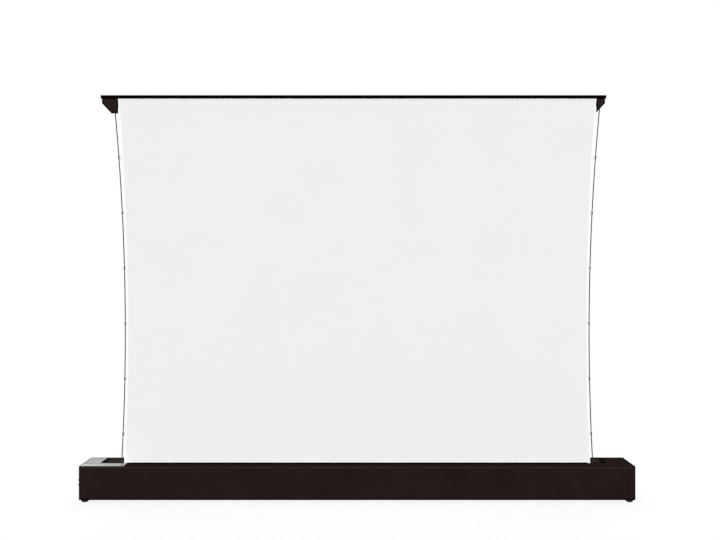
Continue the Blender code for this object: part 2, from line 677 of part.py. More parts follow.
def roller_carriers():
    """Tubular motor, idler pin and the two brackets that hold them."""
    half, face = roller_half(), bracket_face()
    outside = face + ROLLER_BRACKET_WALL + GAP
    shaft_end = motor_end() + MOTOR_SHAFT_LENGTH
    collar = ROLLER_RADIUS - ROLLER_WALL - GAP
    motor = [
        (0, shaft_end), (MOTOR_SHAFT_RADIUS, shaft_end), (MOTOR_SHAFT_RADIUS, motor_end()),
        (MOTOR_RADIUS, motor_end()), (MOTOR_RADIUS, -half - GAP + MOTOR_COLLAR_LENGTH),
        (collar, -half - GAP + MOTOR_COLLAR_LENGTH), (collar, -half - GAP),
        (MOTOR_HEAD_RADIUS, -half - GAP), (MOTOR_HEAD_RADIUS, GAP - face),
        (MOTOR_STUD_RADIUS, GAP - face), (MOTOR_STUD_RADIUS, -outside - IDLER_HEAD),
        (0, -outside - IDLER_HEAD),
    ]
    finish(turned("tubular_motor", motor, (0, ROLLER_Y, ROLLER_Z), "X"), BLACK_PAINT)
    idler = [
        (0, outside + IDLER_HEAD), (IDLER_HEAD_RADIUS, outside + IDLER_HEAD),
        (IDLER_HEAD_RADIUS, outside), (IDLER_RADIUS, outside), (IDLER_RADIUS, half - IDLER_REACH),
        (0, half - IDLER_REACH),
    ]
    finish(turned("idler_pin", idler, (0, ROLLER_Y, ROLLER_Z), "X"), STEEL)
    seat = BASE_TOP + GAP
    for side, bore in ((LEFT, MOTOR_STUD_RADIUS + GAP), (RIGHT, IDLER_RADIUS + GAP)):
        name = f"{SIDE_NAMES[side]}_roller_bracket"
        wall = face + ROLLER_BRACKET_WALL
        toe = wall + ROLLER_BRACKET_FOOT
        outline = [
            (side * face, seat), (side * toe, seat), (side * toe, seat + ROLLER_BRACKET_WALL),
            (side * wall, seat + ROLLER_BRACKET_WALL), (side * wall, ROLLER_Z + ROLLER_BRACKET_RISE),
            (side * face, ROLLER_Z + ROLLER_BRACKET_RISE),
        ]
        low, high = ROLLER_Y - ROLLER_BRACKET_FRONT, ROLLER_Y + ROLLER_BRACKET_REAR
        bracket = prism(name, outline, low, high, "Y")
        near, far = sorted((side * (face - OVERRUN), side * (wall + OVERRUN)))
        hole = rod(f"{name}_bore", bore, near, far, (0, ROLLER_Y, ROLLER_Z), "X")
        finish(combine(bracket, hole, "DIFFERENCE"), ZINC)


def screen_cloth():
    """Stretched cloth from the roller up to the top bar's groove, drawn in at the waist."""
    heights = [ROLLER_Z + (CLOTH_TOP - ROLLER_Z) * row / CLOTH_ROWS for row in range(CLOTH_ROWS + 1)]
    right = [(cloth_half(height), height) for height in heights]
    left = [(-half, height) for half, height in reversed(right)]
    low, high = CLOTH_Y - CLOTH_THICKNESS / 2, CLOTH_Y + CLOTH_THICKNESS / 2
    finish(prism("screen_cloth", right + left, low, high, "Y"), CLOTH)


def tab_heights():
    """Middle heights of the tabs that hold the cord."""
    return [TAB_RISE + TAB_PITCH * tab for tab in range(TAB_COUNT)]


def tape_outline(side):
    """Edge tape with its tabs, drawn in (X, Z) and reaching out to the cord at each tab."""
    outer = [(cloth_half(ROLLER_Z), ROLLER_Z)]
    for middle in tab_heights():
        low, high = middle - TAB_HEIGHT / 2, middle + TAB_HEIGHT / 2
        outer += [(cloth_half(low), low), (cord_half(low), low)]
        outer += [(cord_half(high), high), (cloth_half(high), high)]
    end = BAR_BASE - GAP
    outer.append((cloth_half(end), end))
    inner_heights = [end, *reversed(tab_heights()), ROLLER_Z]
    inner = [(cloth_half(height) - TAPE_WIDTH, height) for height in inner_heights]
    return [(side * across, height) for across, height in outer + inner]


def edge_tape(side):
    """Tape behind one edge of the cloth. Its tabs end in sleeves round the tension cord."""
    name = f"{SIDE_NAMES[side]}_edge_tape"
    low, high = TAPE_Y - TAPE_THICKNESS / 2, TAPE_Y + TAPE_THICKNESS / 2
    tape = prism(name, tape_outline(side), low, high, "Y")
    bore = CORD_RADIUS + GAP
    for number, height in enumerate(tab_heights(), 1):
        spot = (side * cord_half(height), TAPE_Y, height)
        for word, radius, reach, action in (
            ("sleeve", bore + SLEEVE_WALL, SLEEVE_LIP, "UNION"), ("bore", bore, LAP, "DIFFERENCE"),
        ):
            half = TAB_HEIGHT / 2 + reach
            tool = rod(f"{name}_{word}_{number}", radius, -half, half, spot, "Z", SLEEVE_SIDES)
            tool.rotation_euler = (0, side * cord_lean(height), 0)
            combine(tape, tool, action)
    finish(tape, TAPE)


def tension_cord(side):
    """Cord from the roller's end through the tabs into the bore of the end bracket."""
    name = f"{SIDE_NAMES[side]}_tension_cord"
    top = BAR_BASE - CORD_IN_BRACKET
    curve = bpy.data.curves.new(name, "CURVE")
    curve.dimensions = "3D"
    curve.bevel_depth = CORD_RADIUS
    curve.bevel_resolution = 2
    curve.use_fill_caps = True
    spline = curve.splines.new("POLY")
    spline.points.add(CORD_ROWS)
    for row, point in enumerate(spline.points):
        height = ROLLER_Z + (top - ROLLER_Z) * row / CORD_ROWS
        point.co = (side * cord_half(height), TAPE_Y, height, 1)
    finish(place(name, curve), CORD)


def top_bar(axis):
    """Extruded lid: top wall, the cloth's groove along the front, a rib behind it and one at the rear."""
    across, mouth = GROOVE_HALF + GROOVE_WALL, GROOVE_MOUTH_HALF
    front, hook = CLOTH_Y - across, BAR_BASE + GROOVE_WALL
    under, low = BAR_UNDER, BAR_TOP - RIB_HEIGHT
    groove = [
        (across, under), (across, BAR_BASE), (mouth, BAR_BASE), (mouth, hook), (GROOVE_HALF, hook),
        (GROOVE_HALF, under), (-GROOVE_HALF, under), (-GROOVE_HALF, hook), (-mouth, hook),
        (-mouth, BAR_BASE), (-across, BAR_BASE),
    ]
    outline = [
        *arc((front + EDGE_RADIUS, BAR_TOP - EDGE_RADIUS), EDGE_RADIUS, math.pi, math.pi / 2, 3),
        *arc((BAR_REAR - EDGE_RADIUS, BAR_TOP - EDGE_RADIUS), EDGE_RADIUS, math.pi / 2, 0, 3),
        (BAR_REAR, low), (BAR_REAR - RIB_WALL, low), (BAR_REAR - RIB_WALL, under),
        (RIB_FRONT + RIB_WALL, under), (RIB_FRONT + RIB_WALL, low), (RIB_FRONT, low),
        (RIB_FRONT, under), *[(CLOTH_Y + depth, rise) for depth, rise in groove],
    ]
    bar = prism("top_bar", outline, BAR_LEFT, BAR_RIGHT, "X")
    for side, label in SIDE_NAMES.items():
        near, far = sorted((BRACKET_SIDES[side], BAR_ENDS[side] + side * OVERRUN))
        end = box(
            f"rib_{label}_end",
            (near, RIB_FRONT - GAP, low - OVERRUN), (far, BAR_REAR + OVERRUN, BAR_BASE),
        )
        hang(combine(bar, end, "DIFFERENCE"), axis)
        hang(end, axis)
    finish(bar, BROWN_PAINT)
    half = cloth_half(CLOTH_TOP)
    batten = box(
        "cloth_batten",
        (-half, CLOTH_Y - BATTEN_HALF, CLOTH_TOP + GAP),
        (half, CLOTH_Y + BATTEN_HALF, CLOTH_TOP + GAP + 2 * BATTEN_HALF),
    )
    finish(hang(batten, axis), STEEL)


def end_bracket(side, axis):
    """Flat bracket below the bar's end. Its bore takes the tension cord."""
    name = f"{SIDE_NAMES[side]}_end_bracket"
    outer = BRACKET_SIDES[side]
    inner = side * (CLOTH_WAIST_HALF + CLOTH_FLARE + GAP)
    corner = BAR_BASE - BRACKET_SIDE
    run = min(BRACKET_SLANT_RUN, abs(outer - inner))
    tip = corner - BRACKET_SLANT_DROP * run / BRACKET_SLANT_RUN
    top = BAR_BASE - GAP
    outline = [(outer, top), (outer, corner), (outer - side * run, tip), (inner, tip), (inner, top)]
    if run < BRACKET_SLANT_RUN:
        outline.remove((inner, tip))
    low, high = TAPE_Y - BRACKET_THICKNESS / 2, TAPE_Y + BRACKET_THICKNESS / 2
    bracket = prism(name, outline, low, high, "Y")
    cord_end = BAR_BASE - CORD_IN_BRACKET + GAP
    middle = (cord_end + tip) / 2
    bore = rod(
        f"{name}_bore", CORD_RADIUS + GAP, tip - LAP - middle, cord_end - middle,
        (side * cord_half(middle), TAPE_Y, middle), "Z", SLEEVE_SIDES,
    )
    bore.rotation_euler = (0, side * cord_lean(middle), 0)
    combine(bracket, bore, "DIFFERENCE")
    hang(bore, axis)
    finish(hang(bracket, axis), BROWN_PAINT)


def clevis(name, across, pivot, seat, arm_y, flange):
    """U-shaped bracket: a seat plate and two ears beside an arm's knuckle, bored for the pin.

    It is drawn standing on its seat, and turned over where the seat is above the pivot.
    """
    height = abs(pivot - seat) + EAR_END
    inner = ARM_DEPTH / 2 + GAP
    ear = inner + EAR_WALL
    outline = [
        (-ear - flange, 0), (ear + flange, 0), (ear + flange, EAR_WALL), (ear, EAR_WALL),
        (ear, height), (inner, height), (inner, EAR_WALL), (-inner, EAR_WALL), (-inner, height),
        (-ear, height), (-ear, EAR_WALL), (-ear - flange, EAR_WALL),
    ]
    bracket = prism(name, outline, -EAR_HALF, EAR_HALF, "X")
    standing = 1 if pivot > seat else -1
    bracket.location = (across, arm_y, seat + standing * height / 2)
    bracket.rotation_euler = (standing * math.pi / 2, 0, standing * math.pi / 2)
    reach = ear + OVERRUN
    bore = rod(f"{name}_bore", PIN_RADIUS + GAP, -reach, reach, (across, arm_y, pivot), "Y")
    combine(bracket, bore, "DIFFERENCE")
    finish(bracket, BLACK_PAINT)
    return bracket, bore


def pin(name, across, rise, low, high, carrier=None):
    """Pivot pin along Y with a head at each end, between two outer faces."""
    outline = [
        (0, high + GAP + PIN_HEAD), (PIN_HEAD_RADIUS, high + GAP + PIN_HEAD),
        (PIN_HEAD_RADIUS, high + GAP), (PIN_RADIUS, high + GAP), (PIN_RADIUS, low - GAP),
        (PIN_HEAD_RADIUS, low - GAP), (PIN_HEAD_RADIUS, low - GAP - PIN_HEAD),
        (0, low - GAP - PIN_HEAD),
    ]
    return finish(turned(name, outline, (across, 0, rise), "Y", carrier=carrier), STEEL)


def knuckle(name, at_far_end, low, high, tube_y, carrier):
    """Cast arm end: a bored eye, a neck as high as the tube and a spigot that fits inside it."""
    half = ARM_HEIGHT / 2
    start = math.asin(half / KNUCKLE_RADIUS)
    eye = arc((0, 0), KNUCKLE_RADIUS, start, 2 * math.pi - start, ROUND_SIDES - 4)
    outline = eye + [(KNUCKLE_NECK, -half), (KNUCKLE_NECK, half)]
    deep = ARM_DEPTH / 2 - ARM_WALL - GAP
    tall = half - ARM_WALL - GAP
    pivot, ends = 0, (KNUCKLE_NECK - LAP, KNUCKLE_NECK + SPIGOT_LENGTH)
    if at_far_end:
        outline = [(LINK - along, across) for along, across in outline]
        pivot, ends = LINK, (LINK - ends[1], LINK - ends[0])
    body = prism(name, outline, low, high, "Y", carrier)
    spigot = box(
        f"{name}_spigot", (ends[0], tube_y - deep, -tall), (ends[1], tube_y + deep, tall), carrier
    )
    bore = rod(
        f"{name}_bore", PIN_RADIUS + GAP, low - OVERRUN, high + OVERRUN, (pivot, 0, 0), "Y",
        carrier=carrier,
    )
    combine(body, spigot, "UNION")
    finish(combine(body, bore, "DIFFERENCE"), BLACK_PAINT)


def arm_tube(name, tube_y, carrier):
    """Rectangular tube between an arm's two knuckles."""
    start = KNUCKLE_NECK + GAP
    deep, tall = ARM_DEPTH / 2, ARM_HEIGHT / 2
    tube = box(name, (start, tube_y - deep, -tall), (LINK - start, tube_y + deep, tall), carrier)
    inside = box(
        f"{name}_inside",
        (start - OVERRUN, tube_y - deep + ARM_WALL, ARM_WALL - tall),
        (LINK - start + OVERRUN, tube_y + deep - ARM_WALL, tall - ARM_WALL), carrier,
    )
    finish(combine(tube, inside, "DIFFERENCE"), BLACK_PAINT)


def lifting_arm(side, bar_axis):
    """One folding arm: lower arm from the base plate to the knee, upper arm from the knee to the bar."""
    label = SIDE_NAMES[side]
    outward = -RAISED_ANGLE if side == RIGHT else RAISED_ANGLE - math.pi
    inward = RAISED_ANGLE - math.pi if side == RIGHT else -RAISED_ANGLE
    lower_axis = axis_empty(f"{label}_base_axis", (side * PIVOT_X, 0, BASE_PIVOT_Z), (0, outward, 0))
    upper_axis = axis_empty(f"{label}_knee_axis", (side * KNEE_X, 0, KNEE_Z), (0, inward, 0))
    lower = (LOWER_Y - ARM_DEPTH / 2, LOWER_Y + ARM_DEPTH / 2)
    upper = (UPPER_Y - ARM_DEPTH / 2, UPPER_Y + ARM_DEPTH / 2)
    arm_tube(f"{label}_lower_arm", LOWER_Y, lower_axis)
    knuckle(f"{label}_base_knuckle", False, *lower, LOWER_Y, lower_axis)
    knuckle(f"{label}_lower_knee_knuckle", True, upper[1] + GAP, lower[1], LOWER_Y, lower_axis)
    pin(f"{label}_knee_pin", LINK, 0, upper[0], lower[1], lower_axis)
    room = KNUCKLE_NECK + SPIGOT_LENGTH + GAP
    spring = rod(
        f"{label}_arm_spring", SPRING_RADIUS, room, LINK - room, (0, LOWER_Y, 0), "X",
        sides=ROUND_SIDES // 2, carrier=lower_axis,
    )
    finish(spring, STEEL)
    arm_tube(f"{label}_upper_arm", UPPER_Y, upper_axis)
    knuckle(f"{label}_upper_knee_knuckle", False, *upper, UPPER_Y, upper_axis)
    knuckle(f"{label}_top_knuckle", True, *upper, UPPER_Y, upper_axis)

    ear = GAP + EAR_WALL
    clevis(
        f"{label}_base_bracket", side * PIVOT_X, BASE_PIVOT_Z, BASE_TOP + GAP, LOWER_Y, BASE_EAR_FLANGE
    )
    pin(f"{label}_base_pin", side * PIVOT_X, BASE_PIVOT_Z, lower[0] - ear, lower[1] + ear)
    for piece in clevis(
        f"{label}_top_bracket", side * PIVOT_X, TOP_PIVOT_Z, BAR_UNDER - GAP, UPPER_Y, TOP_EAR_FLANGE
    ):
        hang(piece, bar_axis)
    top_pin = pin(f"{label}_top_pin", side * PIVOT_X, TOP_PIVOT_Z, upper[0] - ear, upper[1] + ear)
    hang(top_pin, bar_axis)


case_profiles()
base_plate()
top_plates()
end_caps()
feet()
buttons()
power_inlet()
roller()
roller_carriers()
screen_cloth()
bar_pivot = axis_empty("top_bar_axis", (-PIVOT_X, 0, TOP_PIVOT_Z))
top_bar(bar_pivot)
for arm_side in SIDE_NAMES:
    edge_tape(arm_side)
    tension_cord(arm_side)
    end_bracket(arm_side, bar_pivot)
    lifting_arm(arm_side, bar_pivot)
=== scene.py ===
import math

import bmesh
import bpy
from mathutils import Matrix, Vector


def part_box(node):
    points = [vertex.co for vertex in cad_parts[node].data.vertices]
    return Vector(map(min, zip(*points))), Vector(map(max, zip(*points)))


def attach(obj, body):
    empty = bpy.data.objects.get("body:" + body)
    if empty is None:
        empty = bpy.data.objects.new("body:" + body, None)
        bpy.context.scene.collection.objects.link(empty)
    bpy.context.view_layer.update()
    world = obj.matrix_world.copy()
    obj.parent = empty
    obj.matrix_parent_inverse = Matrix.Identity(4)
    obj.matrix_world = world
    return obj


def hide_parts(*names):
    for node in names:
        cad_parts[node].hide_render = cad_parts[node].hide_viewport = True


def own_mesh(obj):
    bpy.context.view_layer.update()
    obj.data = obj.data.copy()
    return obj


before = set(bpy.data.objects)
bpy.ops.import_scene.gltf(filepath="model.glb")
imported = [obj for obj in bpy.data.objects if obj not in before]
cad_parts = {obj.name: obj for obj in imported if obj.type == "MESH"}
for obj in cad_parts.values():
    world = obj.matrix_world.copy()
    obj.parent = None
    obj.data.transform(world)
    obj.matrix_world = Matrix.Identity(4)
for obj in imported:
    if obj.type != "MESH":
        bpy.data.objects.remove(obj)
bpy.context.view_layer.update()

# The camera stands level with about the middle of the cloth, 3.7 m in front of it and 12 mm
# right of the case's middle, and has a 43 mm lens over a sensor 36 mm wide.
camera = bpy.data.objects.new("camera", bpy.data.cameras.new("camera"))
camera.data.lens = 42.86
camera.data.sensor_width = 36
camera.location = (0.0121, -3.72, 0.9872)
camera.rotation_euler = (math.pi / 2, 0, 0)
bpy.context.scene.collection.objects.link(camera)
bpy.context.scene.camera = camera


# Two extruded aluminium profiles make the front and rear walls of the case. They are powder
# coated dark brown with a faint orange peel. Painted shade makes the top faces darker and near
# black behind the slot, and painted light makes the rear wall's inside paler. A painted
# highlight runs just below the front's top edge, with painted shade above it, and painted
# shade darkens the foot.
def shader_of(finish):
    """The shader that a finish's colour, gloss and grain are led into."""
    return finish.node_tree.nodes["Principled BSDF"]


def surface_finish(name, colour, roughness, metallic=0.0, specular=0.5):
    """A finish with its plain colour and gloss, before any grain is put into it."""
    finish = bpy.data.materials.new(name)
    finish.use_nodes = True
    shader = shader_of(finish)
    shader.inputs["Base Color"].default_value = (*colour, 1)
    shader.inputs["Roughness"].default_value = roughness
    shader.inputs["Metallic"].default_value = metallic
    shader.inputs["Specular IOR Level"].default_value = specular
    return finish


def grain(finish, scale, stretch=(1, 1, 1), detail=2, cells=False):
    """Noise or cells, counted per metre of the piece and drawn out by its stretch."""
    tree = finish.node_tree
    place = tree.nodes.new("ShaderNodeTexCoord")
    spread = tree.nodes.new("ShaderNodeMapping")
    spread.inputs["Scale"].default_value = stretch
    tree.links.new(place.outputs["Object"], spread.inputs["Vector"])
    texture = tree.nodes.new("ShaderNodeTexVoronoi" if cells else "ShaderNodeTexNoise")
    texture.inputs["Scale"].default_value = scale
    if not cells:
        texture.inputs["Detail"].default_value = detail
    tree.links.new(spread.outputs["Vector"], texture.inputs["Vector"])
    return texture.outputs["Distance" if cells else "Fac"]


def tint(finish, pattern, darker, lighter, low=0.3, high=0.7):
    """Let a pattern move the colour between a darker and a lighter shade."""
    tree = finish.node_tree
    ramp = tree.nodes.new("ShaderNodeValToRGB")
    ramp.color_ramp.elements[0].position = low
    ramp.color_ramp.elements[0].color = (*darker, 1)
    ramp.color_ramp.elements[1].position = high
    ramp.color_ramp.elements[1].color = (*lighter, 1)
    tree.links.new(pattern, ramp.inputs["Fac"])
    tree.links.new(ramp.outputs["Color"], shader_of(finish).inputs["Base Color"])


def vary_gloss(finish, pattern, smooth, rough):
    """Let a pattern move the roughness between a smoother and a rougher value."""
    tree = finish.node_tree
    spread = tree.nodes.new("ShaderNodeMapRange")
    spread.inputs["From Min"].default_value = 0.3
    spread.inputs["From Max"].default_value = 0.7
    spread.inputs["To Min"].default_value = smooth
    spread.inputs["To Max"].default_value = rough
    tree.links.new(pattern, spread.inputs["Value"])
    tree.links.new(spread.outputs["Result"], shader_of(finish).inputs["Roughness"])


def raise_grain(finish, pattern, height):
    """Let a pattern raise the surface by a height in metres, over any grain already there."""
    tree = finish.node_tree
    normal = shader_of(finish).inputs["Normal"]
    bump = tree.nodes.new("ShaderNodeBump")
    bump.inputs["Distance"].default_value = height
    tree.links.new(pattern, bump.inputs["Height"])
    if normal.is_linked:
        tree.links.new(normal.links[0].from_socket, bump.inputs["Normal"])
    tree.links.new(bump.outputs["Normal"], normal)


def mix_over(finish, mask, colour):
    """Lay another colour over the finish where a mask is 1."""
    tree = finish.node_tree
    base = shader_of(finish).inputs["Base Color"]
    mix = tree.nodes.new("ShaderNodeMix")
    mix.data_type = "RGBA"
    under, over, mixed = mix.inputs[6], mix.inputs[7], mix.outputs[2]
    over.default_value = (*colour, 1)
    under.default_value = base.default_value
    if base.is_linked:
        tree.links.new(base.links[0].from_socket, under)
    tree.links.new(mask, mix.inputs[0])
    tree.links.new(mixed, base)


def sums(finish, operation, first, second, third=0.0):
    """One step of arithmetic on patterns or plain numbers."""
    tree = finish.node_tree
    step = tree.nodes.new("ShaderNodeMath")
    step.operation = operation
    for socket, value in zip(step.inputs, (first, second, third)):
        if isinstance(value, (int, float)):
            socket.default_value = value
        else:
            tree.links.new(value, socket)
    return step.outputs["Value"]


def place_on(finish, space="Object"):
    """The X, Y and Z of each point of the piece at rest, in metres, or its flat layout."""
    tree = finish.node_tree
    place = tree.nodes.new("ShaderNodeTexCoord")
    axes = tree.nodes.new("ShaderNodeSeparateXYZ")
    tree.links.new(place.outputs[space], axes.inputs["Vector"])
    return axes.outputs["X"], axes.outputs["Y"], axes.outputs["Z"]


def near(finish, value, middle, half):
    """A mask that is 1 where a value lies within a half width of a middle."""
    return sums(finish, "COMPARE", value, middle, half)


def beyond(finish, value, limit):
    """A mask that is 1 where a value is over a limit."""
    return sums(finish, "GREATER_THAN", value, limit)


def both(finish, first, second):
    """A mask of the places where two masks hold."""
    return sums(finish, "MULTIPLY", first, second)


def keep_corners(mesh):
    """Mark the edges where faces meet at more than 30 degrees, so that flat faces stay flat."""
    places = [tuple(round(value, 5) for value in point.co) for point in mesh.vertices]
    meeting = {}
    for face in mesh.polygons:
        for loop in face.loop_indices:
            edge = mesh.edges[mesh.loops[loop].edge_index]
            ends = frozenset(places[point] for point in edge.vertices)
            meeting.setdefault(ends, []).append((edge, face.normal.copy()))
    for sides in meeting.values():
        if len(sides) != 2 or sides[0][1].angle(sides[1][1], 0) > math.radians(30):
            for edge, _ in sides:
                edge.use_edge_sharp = True


def dress(names, finish, edge=0.0):
    """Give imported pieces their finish, and ease their sharp edges a little."""
    for name in names:
        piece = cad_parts[name]
        piece.data.materials.clear()
        piece.data.materials.append(finish)
        piece.data.polygons.foreach_set("use_smooth", [True] * len(piece.data.polygons))
        keep_corners(piece.data)
        weld = piece.modifiers.new("joined corners", "WELD")
        weld.merge_threshold = 0.00001
        if edge:
            eased = piece.modifiers.new("eased edges", "BEVEL")
            eased.width = edge
            eased.segments = 2
            eased.limit_method = "ANGLE"
            eased.angle_limit = math.radians(40)
        even = piece.modifiers.new("even shading", "WEIGHTED_NORMAL")
        even.keep_sharp = True


def brown_finish(name, colour, peel, height):
    """Dark brown coat or moulding with its fine relief and its mottle."""
    finish = surface_finish(name, colour, 0.55, specular=0.0003)
    mottle = grain(finish, 9, detail=5)
    darker = tuple(part * 0.90 for part in colour)
    lighter = tuple(part * 1.10 for part in colour)
    tint(finish, mottle, darker, lighter)
    vary_gloss(finish, grain(finish, 60, detail=3), 0.50, 0.62)
    raise_grain(finish, grain(finish, peel, detail=1), height)
    return finish


slot_rear = 0.0725


def paint_case_light_and_shade(finish):
    """Painted shade on the tops and the foot, and a painted highlight below the front's top edge.
    """
    top_faces, front_face, foot_shade_slope, foot_shade_start = 0.1546, -0.0845, -170, 3.5
    highlight_middle, highlight_half, edge_shade_start = 0.1502, 0.0023, 0.1525
    _, across, rise = place_on(finish)
    # Painted shade: the top faces are coloured darker, and near black behind the slot.
    top = beyond(finish, rise, top_faces)
    mix_over(finish, top, (0.0162, 0.0095, 0.0084))
    mix_over(finish, both(finish, top, beyond(finish, across, slot_rear)), (0.0015, 0.0007, 0.0006))
    # A painted highlight runs just under the front's top edge, with a line of painted shade above
    # it.
    front = sums(finish, "LESS_THAN", across, front_face)
    painted_highlight = both(finish, front, near(finish, rise, highlight_middle, highlight_half))
    mix_over(finish, painted_highlight, (0.0350, 0.0238, 0.0215))
    painted_shade_over_highlight = both(finish, front, beyond(finish, rise, edge_shade_start))
    mix_over(finish, painted_shade_over_highlight, (0.0130, 0.0074, 0.0064))
    # Painted shade darkens the case's lowest few millimetres, fading out upwards.
    foot = sums(finish, "MULTIPLY_ADD", rise, foot_shade_slope, foot_shade_start)
    mix_over(finish, foot, (0.0030, 0.0014, 0.0011))


case_brown = (0.0189, 0.0114, 0.0102)
rear_wall, wall_top = (0.0835, 0.0020), (0.1412, 0.0071)
brown_coat = brown_finish("brown satin powder coat", case_brown, 420, 0.00004)
paint_case_light_and_shade(brown_coat)
# Painted light: the inside of the rear wall, where it shows through the slot, is coloured paler.
_, coat_across, coat_rise = place_on(brown_coat)
in_rear_wall = near(brown_coat, coat_across, *rear_wall)
painted_light_on_rear_wall = both(brown_coat, in_rear_wall, near(brown_coat, coat_rise, *wall_top))
mix_over(brown_coat, painted_light_on_rear_wall, (0.050, 0.035, 0.031))
dress(["front_profile", "rear_profile"], brown_coat)


# Plates of 2 mm sheet close the top of the case: coated brown at the right end, brushed and
# clear anodised at the left. The silver one has a shallow channel in line with the wiper,
# darkened by painted shade, a painted highlight that is brightest in front, and painted shade,
# near black, along its outer edges and behind the slot.
dress(["right_top_plate"], brown_coat, 0.0004)

channel_across, outer_end, slot_end, long_edge = (-0.0265, 0.006), -1.1745, -1.108, 0.0803
brushed_aluminium = surface_finish("brushed aluminium", (0.41, 0.41, 0.40), 0.34, metallic=1.0)
shader_of(brushed_aluminium).inputs["Anisotropic"].default_value = 0.45
shader_of(brushed_aluminium).inputs["Specular Tint"].default_value = (0.66, 0.66, 0.655, 1)
hairlines = grain(brushed_aluminium, 900, (0.012, 1, 1), detail=3)
tint(brushed_aluminium, hairlines, (0.34, 0.34, 0.33), (0.49, 0.49, 0.475))
vary_gloss(brushed_aluminium, hairlines, 0.26, 0.44)
raise_grain(brushed_aluminium, hairlines, 0.00002)
plate_along, plate_across, _ = place_on(brushed_aluminium)
# The shallow channel is bumped in, and painted shade darkens it.
channel = near(brushed_aluminium, plate_across, *channel_across)
mix_over(brushed_aluminium, sums(brushed_aluminium, "MULTIPLY", channel, 0.75), (0.10, 0.10, 0.10))
raise_grain(brushed_aluminium, sums(brushed_aluminium, "MULTIPLY", channel, -1), 0.0003)
# A painted highlight brightens the plate towards its front edge.
painted_front_highlight = sums(brushed_aluminium, "MULTIPLY_ADD", plate_across, -33, -1.83)
mix_over(brushed_aluminium, painted_front_highlight, (0.66, 0.66, 0.65))
painted_outer_shade = sums(brushed_aluminium, "LESS_THAN", plate_along, outer_end)
plate_off_middle = sums(brushed_aluminium, "ABSOLUTE", plate_across, 0)
painted_long_edge_shade = beyond(brushed_aluminium, plate_off_middle, long_edge)
beside_slot = beyond(brushed_aluminium, plate_along, slot_end)
plate_rear = beyond(brushed_aluminium, plate_across, slot_rear)
painted_shade_behind_slot = both(brushed_aluminium, beside_slot, plate_rear)
# Painted shade, near black, along the outer end, the long edges and behind the slot.
for line in (painted_outer_shade, painted_long_edge_shade, painted_shade_behind_slot):
    mix_over(brushed_aluminium, line, (0.004, 0.004, 0.004))
dress(["control_plate"], brushed_aluminium, 0.0004)


# A 2.5 mm galvanised steel plate joins the two profiles inside and carries the arms and
# the roller, whose brackets are the same steel. Zinc dries in soft grey spangles.
zinc_plate = surface_finish("galvanised steel", (0.42, 0.43, 0.45), 0.42, metallic=1.0)
spangle = grain(zinc_plate, 110, cells=True)
tint(zinc_plate, spangle, (0.33, 0.34, 0.36), (0.52, 0.53, 0.55), 0.1, 0.8)
vary_gloss(zinc_plate, spangle, 0.34, 0.52)
raise_grain(zinc_plate, grain(zinc_plate, 500, detail=2), 0.00003)
dress(["base_plate"], zinc_plate)
dress(["left_roller_bracket", "right_roller_bracket"], zinc_plate, 0.0005)


# The end caps are hollow mouldings in brown ABS, pushed on over the profiles and held by two
# screws each. Their skin has a fine spark-eroded grain, with the case's painted light and shade,
# and painted shade, near black, along the edges at its outer ends.
def edge_lines(finish, width, fullest=0.80):
    """A mask that is 1 on sharp edges and fades out over a width, later where fullest is high."""
    tree = finish.node_tree
    eased = tree.nodes.new("ShaderNodeBevel")
    eased.samples = 6
    eased.inputs["Radius"].default_value = width
    plain = tree.nodes.new("ShaderNodeNewGeometry")
    facing = tree.nodes.new("ShaderNodeVectorMath")
    facing.operation = "DOT_PRODUCT"
    tree.links.new(eased.outputs["Normal"], facing.inputs[0])
    tree.links.new(plain.outputs["Normal"], facing.inputs[1])
    sharp = tree.nodes.new("ShaderNodeMapRange")
    sharp.inputs["From Min"].default_value = 0.985
    sharp.inputs["From Max"].default_value = fullest
    tree.links.new(facing.outputs["Value"], sharp.inputs["Value"])
    return sharp.outputs["Result"]


corner_start = 1.1740
brown_moulding = brown_finish("brown grained moulding", case_brown, 1400, 0.00003)
raise_grain(brown_moulding, grain(brown_moulding, 700, cells=True), 0.00003)
paint_case_light_and_shade(brown_moulding)
# Painted shade, near black, along the edges at the caps' outer ends.
cap_off_middle = sums(brown_moulding, "ABSOLUTE", place_on(brown_moulding)[0], 0)
outer_corner = beyond(brown_moulding, cap_off_middle, corner_start)
painted_corner_shade = both(brown_moulding, outer_corner, edge_lines(brown_moulding, 0.010, 0.95))
mix_over(brown_moulding, painted_corner_shade, (0.0015, 0.0007, 0.0006))
dress(["left_end_cap", "right_end_cap"], brown_moulding)


# Each cap is held by two zinc-plated countersunk screws with a cross recess, driven into the
# bosses of the profiles.
zinc_screw = surface_finish("bright zinc", (0.50, 0.51, 0.52), 0.30, metallic=1.0)
tint(zinc_screw, grain(zinc_screw, 700, detail=3), (0.42, 0.42, 0.44), (0.58, 0.58, 0.60))
vary_gloss(zinc_screw, grain(zinc_screw, 900, detail=2), 0.24, 0.38)
raise_grain(zinc_screw, grain(zinc_screw, 1500, detail=1), 0.00001)
cap_screws = ["left_front_screw", "left_rear_screw", "right_front_screw", "right_rear_screw"]
slit_half_length, slit_half_width, slit_depth = 0.0021, 0.00045, 0.0006
low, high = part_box("left_rear_screw")
_, screw_across, screw_rise = place_on(zinc_screw)
screw_off_middle = sums(zinc_screw, "ABSOLUTE", screw_across, 0)
aside = sums(zinc_screw, "SUBTRACT", screw_off_middle, (low.y + high.y) / 2)
above = sums(zinc_screw, "SUBTRACT", screw_rise, (low.z + high.z) / 2)
